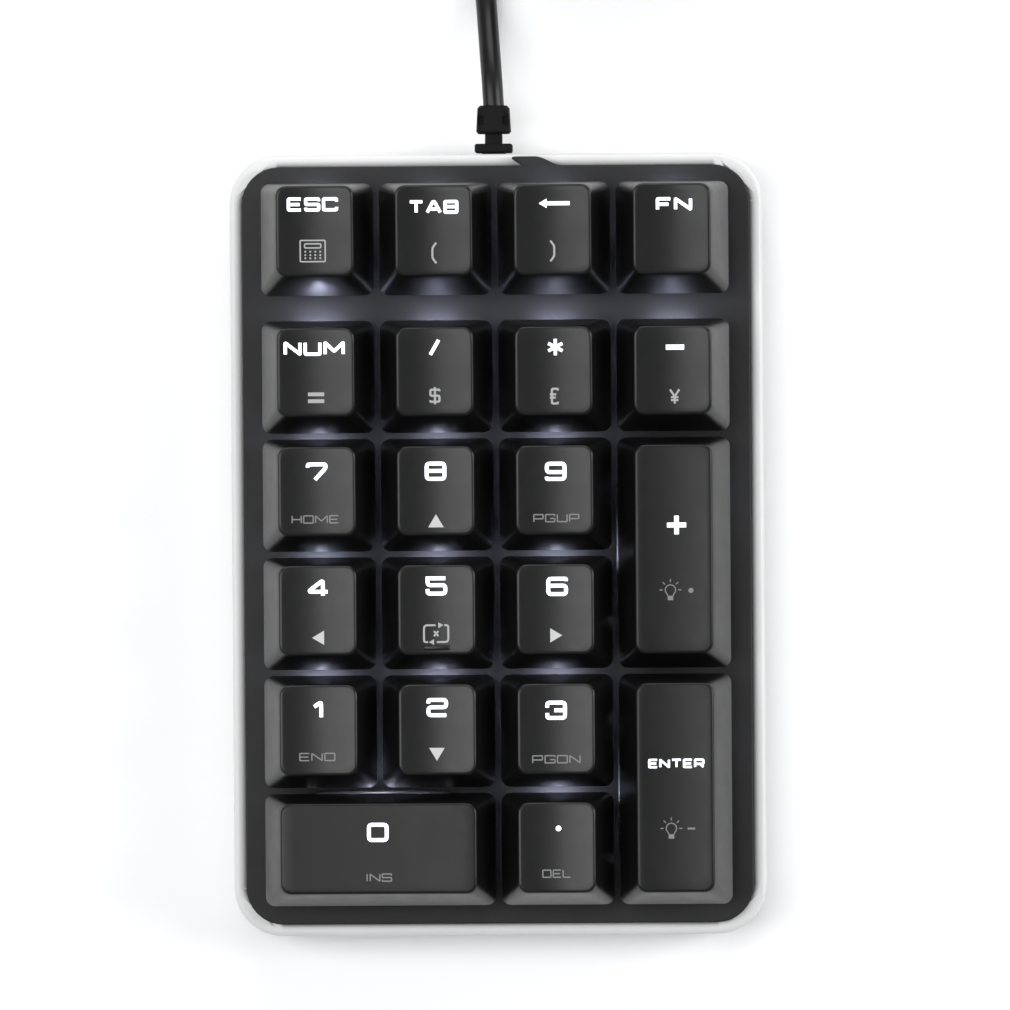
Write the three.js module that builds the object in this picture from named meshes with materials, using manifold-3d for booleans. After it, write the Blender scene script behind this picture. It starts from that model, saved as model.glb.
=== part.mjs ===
// Backlit mechanical numeric keypad: 21 floating keycaps on key switches, a black top panel that is also
// the switches' mounting plate, a slightly larger white lower case, a circuit board and a USB lead.
// Millimetres. +X to the right, +Y to the rear edge where the lead leaves, +Z up.
// The origin is on the surface that the keypad stands on, under the middle of the case.

import * as THREE from "three";
import { mergeVertices } from "three/addons/utils/BufferGeometryUtils.js";
import Module from "manifold-3d";

const wasm = await Module();
wasm.setup();

// ---- driving dimensions ----

const PITCH = 19.05; // one key unit
const FUNCTION_ROW_GAP = 3.1; // the extra space in front of the rearmost row
const CASE_WIDTH = 86.2;
const CASE_LENGTH = 126.5;
const CASE_RADIUS = 7.8;
const CASE_WALL = 2.4;
const CASE_FLOOR = 2;
const CASE_CHAMFER = 1.6;
const FOOT_HEIGHT = 1.5;
const RIM_Z = 12.5; // top of the white case's wall
const PANEL_WIDTH = 82.1;
const PANEL_LENGTH = 122.6;
const PANEL_RADIUS = 6;
const PANEL_THICK = 1.5;
const REST_GAP = 0.2; // between pieces that rest on each other
const PANEL_Z = RIM_Z + REST_GAP; // underside of the panel
const PLATE_Z = PANEL_Z + PANEL_THICK; // top of the panel, which the switches clip into

const SWITCH_HOLE = 14;
const SWITCH_BODY = 13.6;
const SWITCH_FLANGE = 15.4;
const SWITCH_RISE = 6.6; // housing top above the plate
const SWITCH_TOP_WIDTH = 10.6;
const SWITCH_TOP_LENGTH = 11.4;
const SWITCH_DEPTH = 5; // plate top to circuit board
const BOARD_THICK = 1.6;

const CAP_SIDE = 18.1; // foot of a 1 unit cap
const CAP_FACE_WIDTH = 12.2; // top face of a 1 unit cap
const CAP_FOOT_CORNER = 0.7;
const CAP_FACE_CORNER = 1.8;
const CAP_WALL = 1.4;
const CAP_ROOF = 1.6;
const CAP_REST_Z = PLATE_Z + 6.1; // foot of a cap that isn't pressed
const BOSS_RADIUS = 2.75;
const BOSS_LIFT = 0.4; // boss end above the cap's foot
const CROSS_LENGTH = 4.15;
const CROSS_WIDTH = 1.3;
const STABILISER_REACH = 11.94; // from the middle of a 2 unit key to each of its side posts

const WIRE_RADIUS = 0.75;
const WIRE_OFFSET = 8.6; // the stabiliser wire's pivot line, beside the key's middle
const WIRE_PIVOT_Z = PLATE_Z + 1;
const WIRE_ARM = 6.8;
const WIRE_REST_ANGLE = 0.62; // radians above level

const LEAD_DIAMETER = 3.4;
const LEAD_X = -0.3;
const LEAD_Z = 8.2; // axis of the lead where it leaves the case
const LEAD_SIDES = 8;
const REAR_Y = CASE_LENGTH / 2;

// ---- key rows, from the rear to the front: profile of the caps in each row ----
// rear and front are the cap's heights at those edges of its top face; back and nose are how far
// the top face stands in from the cap's foot at the rear and at the front.

const ROWS = [
  { rear: 11.2, front: 9.6, back: 0.9, nose: 3.0 },
  { rear: 10.6, front: 9.4, back: 1.1, nose: 2.8 },
  { rear: 9.6, front: 8.9, back: 1.1, nose: 2.7 },
  { rear: 9.0, front: 8.8, back: 1.1, nose: 2.6 },
  { rear: 9.0, front: 9.3, back: 1.2, nose: 2.4 },
  { rear: 9.0, front: 9.3, back: 1.2, nose: 2.4 },
];
const ROW_COUNT = ROWS.length;
const REAR_ROW_Y = 2.5 * PITCH + FUNCTION_ROW_GAP / 2 + 0.3;

// name, column, row and size in key units; column and row are those of the key's rear left unit
const KEYS = [
  ["esc", 0, 0, 1, 1],
  ["tab", 1, 0, 1, 1],
  ["backspace", 2, 0, 1, 1],
  ["fn", 3, 0, 1, 1],
  ["num", 0, 1, 1, 1],
  ["divide", 1, 1, 1, 1],
  ["multiply", 2, 1, 1, 1],
  ["minus", 3, 1, 1, 1],
  ["7", 0, 2, 1, 1],
  ["8", 1, 2, 1, 1],
  ["9", 2, 2, 1, 1],
  ["plus", 3, 2, 1, 2],
  ["4", 0, 3, 1, 1],
  ["5", 1, 3, 1, 1],
  ["6", 2, 3, 1, 1],
  ["1", 0, 4, 1, 1],
  ["2", 1, 4, 1, 1],
  ["3", 2, 4, 1, 1],
  ["enter", 3, 4, 1, 2],
  ["0", 0, 5, 2, 1],
  ["decimal", 2, 5, 1, 1],
].map(([name, column, row, wide, long]) => ({ name, column, row, wide, long, ...keyCentre(column, row, wide, long) }));

const SCREW_PLACES = [0, 3].flatMap((row) => {
  const y = (rowY(row) + rowY(row + 1)) / 2;
  return [
    [-PITCH, y],
    [PITCH, y],
  ];
});
const POST_RADIUS = 2.6;
const POST_HOLE = 3.2;
const POST_SIDES = 12;
const POST_SINK = 0.5; // the posts' roots run this far into the case's floor
const SCREW_RADIUS = 1.2;
const SCREW_HEAD_RADIUS = 2.3;
const SCREW_HEAD = 1.6;
const SCREW_GRIP = 0.9; // length of thread in the panel
const HEAD_RECESS = 0.3; // a screw's head stands this far inside the underside
const HEAD_CLEARANCE = 0.4;
const LEAD_SLOT = 4.4; // square opening in the rear wall

function rowY(row) {
  return REAR_ROW_Y - row * PITCH - (row > 0 ? FUNCTION_ROW_GAP : 0);
}

function keyCentre(column, row, wide, long) {
  const x = (column + (wide - 1) / 2 - 1.5) * PITCH;
  const y = (rowY(row) + rowY(row + long - 1)) / 2;
  return { x, y };
}

// ---- outlines and solids ----

// Corner points of a rectangle with rounded corners, anticlockwise, the same number for every size.
function roundedOutline(width, length, radius, steps, x = 0, y = 0) {
  const points = [];
  const corners = [
    [1, 1],
    [-1, 1],
    [-1, -1],
    [1, -1],
  ];
  corners.forEach(([sx, sy], corner) => {
    for (let i = 0; i <= steps; i++) {
      const angle = (corner + i / steps) * (Math.PI / 2);
      points.push(
        new THREE.Vector2(
          x + sx * (width / 2 - radius) + radius * Math.cos(angle),
          y + sy * (length / 2 - radius) + radius * Math.sin(angle),
        ),
      );
    }
  });
  return points;
}

function prism(points, low, high) {
  const shape = new THREE.Shape(points);
  const geometry = new THREE.ExtrudeGeometry(shape, { depth: high - low, bevelEnabled: false });
  return geometry.translate(0, 0, low);
}

// A solid between two outlines with the same number of points, at heights given by two functions of y.
function loft(foot, top, footZ, topZ) {
  const geometry = prism(foot, 0, 1);
  const position = geometry.attributes.position;
  for (let i = 0; i < position.count; i++) {
    const isTop = position.getZ(i) > 0.5;
    const nearest = foot.reduce(
      (best, p, k) => {
        const distance = Math.hypot(p.x - position.getX(i), p.y - position.getY(i));
        return distance < best.distance ? { k, distance } : best;
      },
      { k: 0, distance: Infinity },
    );
    const point = (isTop ? top : foot)[nearest.k];
    const height = isTop ? topZ(point.y) : footZ;
    position.setXYZ(i, point.x, point.y, height);
  }
  return geometry;
}

function box(width, length, height, x, y, z) {
  return new THREE.BoxGeometry(width, length, height).translate(x, y, z + height / 2);
}

function cylinder(radius, height, x, y, z, sides = 16) {
  const geometry = new THREE.CylinderGeometry(radius, radius, height, sides);
  return geometry.rotateX(Math.PI / 2).translate(x, y, z + height / 2);
}

function tube(points, radius, sides, steps) {
  const curve = new THREE.CatmullRomCurve3(points, false, "centripetal");
  const section = new THREE.Shape();
  for (let i = 0; i < sides; i++) {
    const angle = (i / sides) * Math.PI * 2;
    const x = radius * Math.cos(angle);
    const y = radius * Math.sin(angle);
    if (i === 0) section.moveTo(x, y);
    else section.lineTo(x, y);
  }
  return new THREE.ExtrudeGeometry(section, { steps, extrudePath: curve, bevelEnabled: false });
}

function toSolid(geometry) {
  const bare = geometry.clone();
  bare.deleteAttribute("normal");
  bare.deleteAttribute("uv");
  const merged = mergeVertices(bare, 1e-4);
  const mesh = new wasm.Mesh({
    numProp: 3,
    vertProperties: Float32Array.from(merged.attributes.position.array),
    triVerts: Uint32Array.from(merged.index.array),
  });
  return new wasm.Manifold(mesh);
}

function toGeometry(solid) {
  const mesh = solid.getMesh();
  const geometry = new THREE.BufferGeometry();
  geometry.setAttribute("position", new THREE.BufferAttribute(Float32Array.from(mesh.vertProperties), 3));
  geometry.setIndex(new THREE.BufferAttribute(Uint32Array.from(mesh.triVerts), 1));
  geometry.computeVertexNormals();
  return geometry;
}

function joined(geometries) {
  return geometries.map(toSolid).reduce((sum, solid) => sum.add(solid));
}

function cutFrom(solid, geometries) {
  return geometries.map(toSolid).reduce((rest, cut) => rest.subtract(cut), solid);
}

// ---- materials ----

function plastic(color, roughness) {
  return new THREE.MeshStandardMaterial({ color, roughness, metalness: 0 });
}

function metal(color, roughness) {
  return new THREE.MeshStandardMaterial({ color, roughness, metalness: 1 });
}

const WHITE_CASE = () => plastic(0xf2f2f2, 0.45);
const BLACK_PANEL = () => plastic(0x232326, 0.6);
const BLACK_CAP = () => plastic(0x2b2b2e, 0.55);
const SWITCH_SHELL = () => plastic(0x1a1a1c, 0.5);
const BOARD = () => plastic(0x1c3b2a, 0.5);
const STEEL = () => metal(0xb8bbc0, 0.35);
const RUBBER = () => plastic(0x161616, 0.85);
const LEAD_JACKET = () => plastic(0x141414, 0.6);

const keypad = new THREE.Group();

function addPart(name, geometry, material, x = 0, y = 0, z = 0) {
  const mesh = new THREE.Mesh(geometry, material);
  mesh.name = name;
  mesh.position.set(x, y, z);
  keypad.add(mesh);
}

// ---- case ----

function bottomCase() {
  const chamferInset = 2 * CASE_CHAMFER;
  const footOutline = roundedOutline(
    CASE_WIDTH - chamferInset,
    CASE_LENGTH - chamferInset,
    CASE_RADIUS - CASE_CHAMFER,
    5,
  );
  const outline = roundedOutline(CASE_WIDTH, CASE_LENGTH, CASE_RADIUS, 5);
  const inside = roundedOutline(
    CASE_WIDTH - 2 * CASE_WALL,
    CASE_LENGTH - 2 * CASE_WALL,
    CASE_RADIUS - CASE_WALL,
    5,
  );
  const chamferTop = FOOT_HEIGHT + CASE_CHAMFER;
  const floorTop = FOOT_HEIGHT + CASE_FLOOR;
  const shell = joined([
    loft(footOutline, outline, FOOT_HEIGHT, () => chamferTop),
    prism(outline, chamferTop, RIM_Z),
  ]);
  const hollow = prism(inside, floorTop, RIM_Z + 1);
  const slotY = REAR_Y - CASE_WALL / 2;
  const leadSlot = box(LEAD_SLOT, CASE_WALL + 2, LEAD_SLOT, LEAD_X, slotY, LEAD_Z - LEAD_SLOT / 2);
  const postFoot = floorTop - POST_SINK;
  const below = FOOT_HEIGHT - 1;
  const posts = SCREW_PLACES.map(([x, y]) => cylinder(POST_RADIUS, RIM_Z - postFoot, x, y, postFoot, POST_SIDES));
  const screwHoles = SCREW_PLACES.map(([x, y]) => cylinder(POST_HOLE / 2, RIM_Z, x, y, below, POST_SIDES));
  const headHoles = SCREW_PLACES.map(([x, y]) =>
    cylinder(SCREW_HEAD_RADIUS + HEAD_CLEARANCE, SCREW_HEAD + HEAD_RECESS + 1, x, y, below, POST_SIDES),
  );
  let solid = cutFrom(shell, [hollow, leadSlot]);
  posts.forEach((post) => (solid = solid.add(toSolid(post))));
  return toGeometry(cutFrom(solid, [...screwHoles, ...headHoles]));
}

// A fin on the panel's rear edge, to the right of the lead: it rises slowly over the white rim from its
// right end and stops in a blunt tip that overhangs its root.
const FIN_DEPTH = 1.5;
const FIN_END_X = 10.9;
const FIN_TOP_X = 6.4;
const FIN_TIP_X = 2.7;
const FIN_ROOT_X = 4.3;
const FIN_BLUNT = 0.4;

function panelOutline() {
  const steps = 5;
  const corners = roundedOutline(PANEL_WIDTH, PANEL_LENGTH, PANEL_RADIUS, steps);
  const rearY = PANEL_LENGTH / 2;
  const count = 6;
  const fin = [];
  for (let i = 0; i <= count; i++) {
    const x = THREE.MathUtils.lerp(FIN_END_X, FIN_TOP_X, i / count);
    const rise = FIN_DEPTH * THREE.MathUtils.smoothstep(i, 0, count);
    fin.push(new THREE.Vector2(x, rearY + rise));
  }
  fin.push(new THREE.Vector2(FIN_TIP_X + FIN_BLUNT, rearY + FIN_DEPTH));
  fin.push(new THREE.Vector2(FIN_TIP_X, rearY + FIN_DEPTH - FIN_BLUNT));
  fin.push(new THREE.Vector2(FIN_ROOT_X, rearY));
  return [...corners.slice(0, steps + 1), ...fin, ...corners.slice(steps + 1)];
}

function topPanel() {
  const plate = toSolid(prism(panelOutline(), PANEL_Z, PLATE_Z));
  const holes = KEYS.map(({ x, y }) => box(SWITCH_HOLE, SWITCH_HOLE, PANEL_THICK + 2, x, y, PANEL_Z - 1));
  const pilotRadius = SCREW_RADIUS + REST_GAP;
  const pilots = SCREW_PLACES.map(([x, y]) => cylinder(pilotRadius, SCREW_GRIP + 0.4, x, y, PANEL_Z - 0.1, 8));
  return toGeometry(cutFrom(plate, [...holes, ...pilots]));
}

const BOARD_MARGIN = CASE_WALL + 1; // from the outside of the case to the board's edge
const BOARD_SETBACK = 3; // more room at the rear, for the strain relief
const BOARD_CORNER = 3;

function circuitBoard() {
  const top = PLATE_Z - SWITCH_DEPTH - REST_GAP;
  const width = CASE_WIDTH - 2 * BOARD_MARGIN;
  const length = CASE_LENGTH - 2 * BOARD_MARGIN - BOARD_SETBACK;
  const outline = roundedOutline(width, length, BOARD_CORNER, 2, 0, -BOARD_SETBACK / 2);
  const board = toSolid(prism(outline, top - BOARD_THICK, top));
  const holes = SCREW_PLACES.map(([x, y]) => cylinder(POST_RADIUS + 0.5, 4, x, y, top - 3, POST_SIDES));
  return toGeometry(cutFrom(board, holes));
}

// ---- key switches, caps and stabilisers ----

const SWITCH_CORNER = 0.8;
const WELL_WIDTH = 7.6;
const WELL_LENGTH = 6.6;
const WELL_BELOW_PLATE = 3;
const LAMP_SLOT_WIDTH = 5.2;
const LAMP_SLOT_LENGTH = 3.2;
const LAMP_Y = 6.4; // behind the switch's middle

function switchHousing() {
  const square = (width, length) => roundedOutline(width, length, SWITCH_CORNER, 1);
  const flangeTop = 1.2;
  const shoulder = SWITCH_FLANGE - 0.6;
  const lap = 0.3; // the three stages run this far into each other
  const upper = loft(
    square(shoulder, shoulder),
    square(SWITCH_TOP_WIDTH, SWITCH_TOP_LENGTH),
    flangeTop - lap,
    () => SWITCH_RISE,
  );
  const flange = prism(square(SWITCH_FLANGE, SWITCH_FLANGE), REST_GAP, flangeTop);
  const body = prism(square(SWITCH_BODY, SWITCH_BODY), -SWITCH_DEPTH, REST_GAP + lap);
  const well = box(WELL_WIDTH, WELL_LENGTH, SWITCH_RISE + WELL_BELOW_PLATE + 1, 0, 0, -WELL_BELOW_PLATE);
  const lampSlot = box(LAMP_SLOT_WIDTH, LAMP_SLOT_LENGTH, SWITCH_RISE, 0, LAMP_Y, flangeTop - lap - 0.1);
  return toGeometry(cutFrom(joined([upper, flange, body]), [well, lampSlot]));
}

function cross(x, y, z, height) {
  return [box(CROSS_LENGTH, CROSS_WIDTH, height, x, y, z), box(CROSS_WIDTH, CROSS_LENGTH, height, x, y, z)];
}

function keycap({ row, wide, long }) {
  const profile = ROWS[Math.min(row + long - 1, ROW_COUNT - 1)];
  const width = CAP_SIDE + (wide - 1) * PITCH;
  const length = CAP_SIDE + (long - 1) * PITCH;
  const faceWidth = CAP_FACE_WIDTH + (wide - 1) * PITCH;
  const faceLength = length - profile.back - profile.nose;
  const faceY = (profile.nose - profile.back) / 2;
  const roofZ = (y) => {
    const along = (y - faceY) / faceLength + 0.5;
    return profile.front + (profile.rear - profile.front) * along;
  };
  const outer = loft(
    roundedOutline(width, length, CAP_FOOT_CORNER, 3),
    roundedOutline(faceWidth, faceLength, CAP_FACE_CORNER, 3, 0, faceY),
    0,
    roofZ,
  );
  const hollowFoot = roundedOutline(width - 2 * CAP_WALL, length - 2 * CAP_WALL, 0.5, 1);
  const hollowTop = roundedOutline(faceWidth - 2 * CAP_WALL, faceLength - 2 * CAP_WALL, 1, 1, 0, faceY);
  const mouth = prism(hollowFoot, -1, 0.5);
  const hollow = loft(hollowFoot, hollowTop, 0.4, (y) => roofZ(y) - CAP_ROOF);
  const bossPlaces = [[0, 0]];
  if (wide > 1) bossPlaces.push([-STABILISER_REACH, 0], [STABILISER_REACH, 0]);
  if (long > 1) bossPlaces.push([0, -STABILISER_REACH], [0, STABILISER_REACH]);
  const bossHeight = profile.front - CAP_ROOF / 2 - BOSS_LIFT;
  let cap = cutFrom(toSolid(outer), [mouth, hollow]);
  bossPlaces.forEach(([x, y]) => {
    const boss = toSolid(cylinder(BOSS_RADIUS, bossHeight, x, y, BOSS_LIFT, 12));
    cap = cap.add(cutFrom(boss, cross(x, y, BOSS_LIFT - 1, bossHeight - 0.6)));
  });
  return toGeometry(cap);
}

// A bent wire: a long bar that turns in the plate's clips, and two arms that reach up to the cap's side posts.
function stabiliserWire() {
  const bar = cylinder(WIRE_RADIUS, 2 * STABILISER_REACH, 0, 0, -STABILISER_REACH, 8).rotateX(Math.PI / 2);
  const arms = [-1, 1].map((side) =>
    cylinder(WIRE_RADIUS, WIRE_ARM, 0, 0, 0, 8)
      .rotateY(Math.PI / 2 - WIRE_REST_ANGLE)
      .translate(0, side * (STABILISER_REACH - WIRE_RADIUS), 0),
  );
  return toGeometry(joined([bar, ...arms]));
}

// ---- fasteners and feet ----

function screw() {
  const length = PANEL_Z + SCREW_GRIP - FOOT_HEIGHT - SCREW_HEAD;
  const head = cylinder(SCREW_HEAD_RADIUS, SCREW_HEAD - 0.4, 0, 0, 0.2, 12);
  const shank = cylinder(SCREW_RADIUS, length, 0, 0, SCREW_HEAD - 0.4, 10);
  const recess = [box(2.6, 0.7, 0.7, 0, 0, 0), box(0.7, 2.6, 0.7, 0, 0, 0)];
  return toGeometry(cutFrom(joined([head, shank]), recess));
}

const FOOT_WIDTH = 58;
const FOOT_LENGTH = 8;
const FOOT_Y = 50;

function foot() {
  const top = FOOT_HEIGHT - REST_GAP;
  return prism(roundedOutline(FOOT_WIDTH, FOOT_LENGTH, FOOT_LENGTH / 2 - 0.1, 4), 0, top);
}

// ---- lead: strain relief, free stretch, coil, tie and plug ----

const RELIEF_REACH = 7.9; // from the case's rear wall to the end of the relief

function strainRelief() {
  const blockStart = REAR_Y + 3.3;
  const blockLength = REAR_Y + RELIEF_REACH - blockStart;
  const pieces = [
    box(6, 1.4, 6, LEAD_X, REAR_Y - CASE_WALL - 1, LEAD_Z - 3),
    box(3.8, CASE_WALL + 1.2, 3.8, LEAD_X, REAR_Y - CASE_WALL / 2, LEAD_Z - 1.9),
    box(6.1, 1.5, 5.4, LEAD_X, REAR_Y + 0.95, LEAD_Z - 2.7),
    box(2.8, 3, 3.4, LEAD_X, REAR_Y + 2.6, LEAD_Z - 1.7),
    box(5.4, blockLength, 5, LEAD_X, blockStart + blockLength / 2, LEAD_Z - 2.5),
  ];
  const windows = [-1, 1].map((side) => box(0.9, 1.4, 6, LEAD_X + side * 1.9, blockStart + 2.2, LEAD_Z - 3));
  return toGeometry(cutFrom(joined(pieces), windows));
}

// Hand-laid route of the free stretch, from the strain relief down to the surface and back to the coil.
const LEAD_ROUTE = [
  [-0.3, 71.45, 8.2],
  [-0.5, 75, 7.9],
  [-0.8, 79, 6.6],
  [-1.1, 83, 4.8],
  [-1.4, 87, 3.2],
  [-1.7, 91, 2.25],
  [-1.9, 95, 1.85],
  [-2.0, 100, 1.75],
  [-2.0, 105, 1.75],
];

const COIL_LAYERS = 4;
const COIL_LANES = 3; // turns in each layer
const COIL_MIDDLE = 5.5 * LEAD_DIAMETER; // radius at the middle of the turns
const COIL_OUTER = COIL_MIDDLE + ((COIL_LANES + 1) / 2) * LEAD_DIAMETER;
const COIL_INNER = COIL_MIDDLE - ((COIL_LANES + 1) / 2) * LEAD_DIAMETER;
const COIL_HEIGHT = COIL_LAYERS * LEAD_DIAMETER;
const COIL_BASE = 1; // the coil lies on its tie
const COIL_X = -2 + COIL_MIDDLE + (COIL_LANES / 2) * LEAD_DIAMETER;
const COIL_Y = 118;

// The end of the lead, from the rear of the coil's top layer down to the plug: offsets from the coil's middle.
const TAIL_TOP = COIL_BASE + COIL_HEIGHT - LEAD_DIAMETER / 2;
const TAIL_START = COIL_MIDDLE + (COIL_LANES / 2 - 0.5) * LEAD_DIAMETER;
const TAIL_ROUTE = [
  [0, TAIL_START, TAIL_TOP],
  [6, TAIL_START + 0.3, TAIL_TOP],
  [12, TAIL_START + 0.8, TAIL_TOP - 0.6],
  [18, TAIL_START + 1.4, TAIL_TOP - 3.2],
  [24, TAIL_START + 1.9, TAIL_TOP - 6.4],
  [30, TAIL_START + 2.2, TAIL_TOP - 8.4],
  [35, TAIL_START + 2.3, TAIL_TOP - 8.8],
];
const [TAIL_END_X, TAIL_END_Y, PLUG_Z] = TAIL_ROUTE[TAIL_ROUTE.length - 1];
const PLUG_X = COIL_X + TAIL_END_X + 0.3;
const PLUG_Y = COIL_Y + TAIL_END_Y;

// The coil's outer shape, with the end of the lead that comes off it.
function cordCoil() {
  const profile = [
    new THREE.Vector2(COIL_INNER, 0),
    new THREE.Vector2(COIL_OUTER, 0),
    new THREE.Vector2(COIL_OUTER, COIL_HEIGHT),
    new THREE.Vector2(COIL_INNER, COIL_HEIGHT),
    new THREE.Vector2(COIL_INNER, 0),
  ];
  const ring = new THREE.LatheGeometry(profile, 32).rotateX(Math.PI / 2).translate(COIL_X, COIL_Y, COIL_BASE);
  const tailPoints = TAIL_ROUTE.map(([x, y, z]) => new THREE.Vector3(COIL_X + x, COIL_Y + y, z));
  const tail = tube(tailPoints, LEAD_DIAMETER / 2, LEAD_SIDES, 10);
  return toGeometry(joined([ring, tail]));
}

function cord() {
  const points = LEAD_ROUTE.map((p) => new THREE.Vector3(...p));
  return tube(points, LEAD_DIAMETER / 2, LEAD_SIDES, 12);
}

// A strap round the coil's section, on the side away from the keypad's lead.
const TIE_ANGLE = -0.35;
const TIE_WIDTH = 7;
const TIE_THICK = 0.7;
const TIE_GAP = 0.3;

function cordTie() {
  const high = COIL_BASE + COIL_HEIGHT + TIE_GAP;
  const inside = COIL_INNER - 0.7 - TIE_GAP;
  const outside = COIL_OUTER + TIE_GAP;
  const middle = (inside + outside) / 2;
  const wide = outside - inside;
  const outer = box(wide + 2 * TIE_THICK, TIE_WIDTH, high + TIE_THICK, middle, 0, 0);
  const inner = box(wide, TIE_WIDTH + 2, high - TIE_THICK, middle, 0, TIE_THICK);
  return toGeometry(cutFrom(toSolid(outer), [inner]));
}

const PLUG_BODY_LENGTH = 22;
const PLUG_SHELL_LENGTH = 12;

function plugBody() {
  const section = roundedOutline(15.4, 7.8, 2, 3);
  const body = prism(section, 4, PLUG_BODY_LENGTH);
  const neck = loft(roundedOutline(5.4, 5.4, 2, 3), roundedOutline(9, 6.4, 2, 3), 0, () => 4.5);
  return toGeometry(joined([body, neck]).rotate([90, 0, 90]));
}

function plugShell() {
  const outer = box(PLUG_SHELL_LENGTH, 12, 4.5, PLUG_SHELL_LENGTH / 2, 0, -2.25);
  const mouth = box(8.4, 11.4, 1.9, PLUG_SHELL_LENGTH - 4.1, 0, -0.05);
  return toGeometry(cutFrom(toSolid(outer), [mouth]));
}

// ---- assembly ----

addPart("bottom_case", bottomCase(), WHITE_CASE());
addPart("top_panel", topPanel(), BLACK_PANEL());
addPart("circuit_board", circuitBoard(), BOARD());
KEYS.forEach((key) => addPart(`switch_${key.name}`, switchHousing(), SWITCH_SHELL(), key.x, key.y, PLATE_Z));
KEYS.forEach((key) => addPart(`keycap_${key.name}`, keycap(key), BLACK_CAP(), key.x, key.y, CAP_REST_Z));
KEYS.filter((key) => key.wide + key.long > 2).forEach((key) => {
  const isCrosswise = key.wide > 1;
  const geometry = stabiliserWire().rotateZ(isCrosswise ? -Math.PI / 2 : 0);
  const x = isCrosswise ? key.x : key.x - WIRE_OFFSET;
  const y = isCrosswise ? key.y + WIRE_OFFSET : key.y;
  addPart(`stabiliser_wire_${key.name}`, geometry, STEEL(), x, y, WIRE_PIVOT_Z);
});
SCREW_PLACES.forEach(([x, y], i) => addPart(`screw_${i + 1}`, screw(), STEEL(), x, y, FOOT_HEIGHT + 0.2));
addPart("foot_front", foot(), RUBBER(), 0, -FOOT_Y);
addPart("foot_rear", foot(), RUBBER(), 0, FOOT_Y);
addPart("strain_relief", strainRelief(), LEAD_JACKET());
addPart("cord", cord(), LEAD_JACKET());
addPart("cord_coil", cordCoil(), LEAD_JACKET());
addPart("cord_tie", cordTie().rotateZ(TIE_ANGLE), RUBBER(), COIL_X, COIL_Y);
addPart("plug_body", plugBody(), LEAD_JACKET(), PLUG_X, PLUG_Y, PLUG_Z);
addPart("plug_shell", plugShell(), STEEL(), PLUG_X + PLUG_BODY_LENGTH + REST_GAP, PLUG_Y, PLUG_Z);

export default keypad;
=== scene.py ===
"""Visual model of a backlit numeric keypad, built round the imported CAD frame.

Sizes are in millimetres in the functions below and become metres when a mesh or curve is made.
+X is to the right, +Y to the rear edge where the lead leaves, +Z up, as in the frame.
"""

import math

import bmesh
import bpy
from mathutils import Matrix, Vector


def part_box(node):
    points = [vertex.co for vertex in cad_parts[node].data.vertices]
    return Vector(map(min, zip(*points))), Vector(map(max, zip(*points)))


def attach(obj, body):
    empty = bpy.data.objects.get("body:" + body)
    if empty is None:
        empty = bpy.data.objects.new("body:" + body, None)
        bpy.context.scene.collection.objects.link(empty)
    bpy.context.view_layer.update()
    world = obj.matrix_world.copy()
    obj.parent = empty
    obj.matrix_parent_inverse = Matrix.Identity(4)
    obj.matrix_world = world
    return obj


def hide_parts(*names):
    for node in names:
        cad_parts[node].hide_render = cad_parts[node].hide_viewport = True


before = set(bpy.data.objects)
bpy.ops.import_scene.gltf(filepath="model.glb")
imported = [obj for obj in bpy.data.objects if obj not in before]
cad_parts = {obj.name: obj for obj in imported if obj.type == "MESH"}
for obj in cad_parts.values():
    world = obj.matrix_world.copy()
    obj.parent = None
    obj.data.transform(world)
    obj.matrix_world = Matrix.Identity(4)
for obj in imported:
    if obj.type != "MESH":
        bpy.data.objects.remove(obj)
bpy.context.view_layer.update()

MM = 0.001
BASE = "base"


def mm_box(node):
    """A node's lowest and highest corners at rest, in millimetres."""
    low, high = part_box(node)
    return Vector(low) / MM, Vector(high) / MM


def middle_of(node):
    """The middle of a node's box at rest, in millimetres."""
    low, high = mm_box(node)
    return [(a + b) / 2 for a, b in zip(low, high)]


CASE_LOW, CASE_HIGH = mm_box("bottom_case")
PANEL_LOW, PANEL_HIGH = mm_box("top_panel")
PLATE_Z = PANEL_HIGH.z

# ---- camera, lights and floor ----

CAMERA_PLACE = (36.8, 31.7, 1614.2)
CAMERA_TARGET = (1.24, 6.45, 14.2)
CAMERA_ROLL = math.radians(-0.406)
CAMERA_LENS = 352.8
SENSOR_WIDTH = 36
CAMERA_REACH = 10  # metres
# place, the point that it faces, size and power in watts
SOFTBOXES = {
    "key_softbox": ((-570, 40, 1000), (0, 0, 20), (620, 1200), 9),
    "right_softbox": ((950, 150, 600), (0, 0, 10), (400, 800), 6.8),
    "rear_softbox": ((100, 950, 600), (0, 0, 10), (900, 400), 5),
}
WORLD_COLOR = (0.95, 0.97, 1.0, 1)
WORLD_STRENGTH = 0.33
FLOOR_HALF_SIZE = 900
FLOOR_GREYS = (0.94, 0.96)


def add_camera():
    data = bpy.data.cameras.new("camera")
    data.lens = CAMERA_LENS
    data.sensor_width = SENSOR_WIDTH
    data.clip_end = CAMERA_REACH
    camera = bpy.data.objects.new("camera", data)
    bpy.context.collection.objects.link(camera)
    place = Vector(CAMERA_PLACE) * MM
    forward = (Vector(CAMERA_TARGET) * MM - place).normalized()
    right = forward.cross(Vector((0, 1, 0))).normalized()
    up = right.cross(forward)
    turn = Matrix((right, up, -forward)).transposed().to_4x4()
    roll = Matrix.Rotation(CAMERA_ROLL, 4, "Z")
    camera.matrix_world = Matrix.Translation(place) @ turn @ roll
    bpy.context.scene.camera = camera


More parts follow.
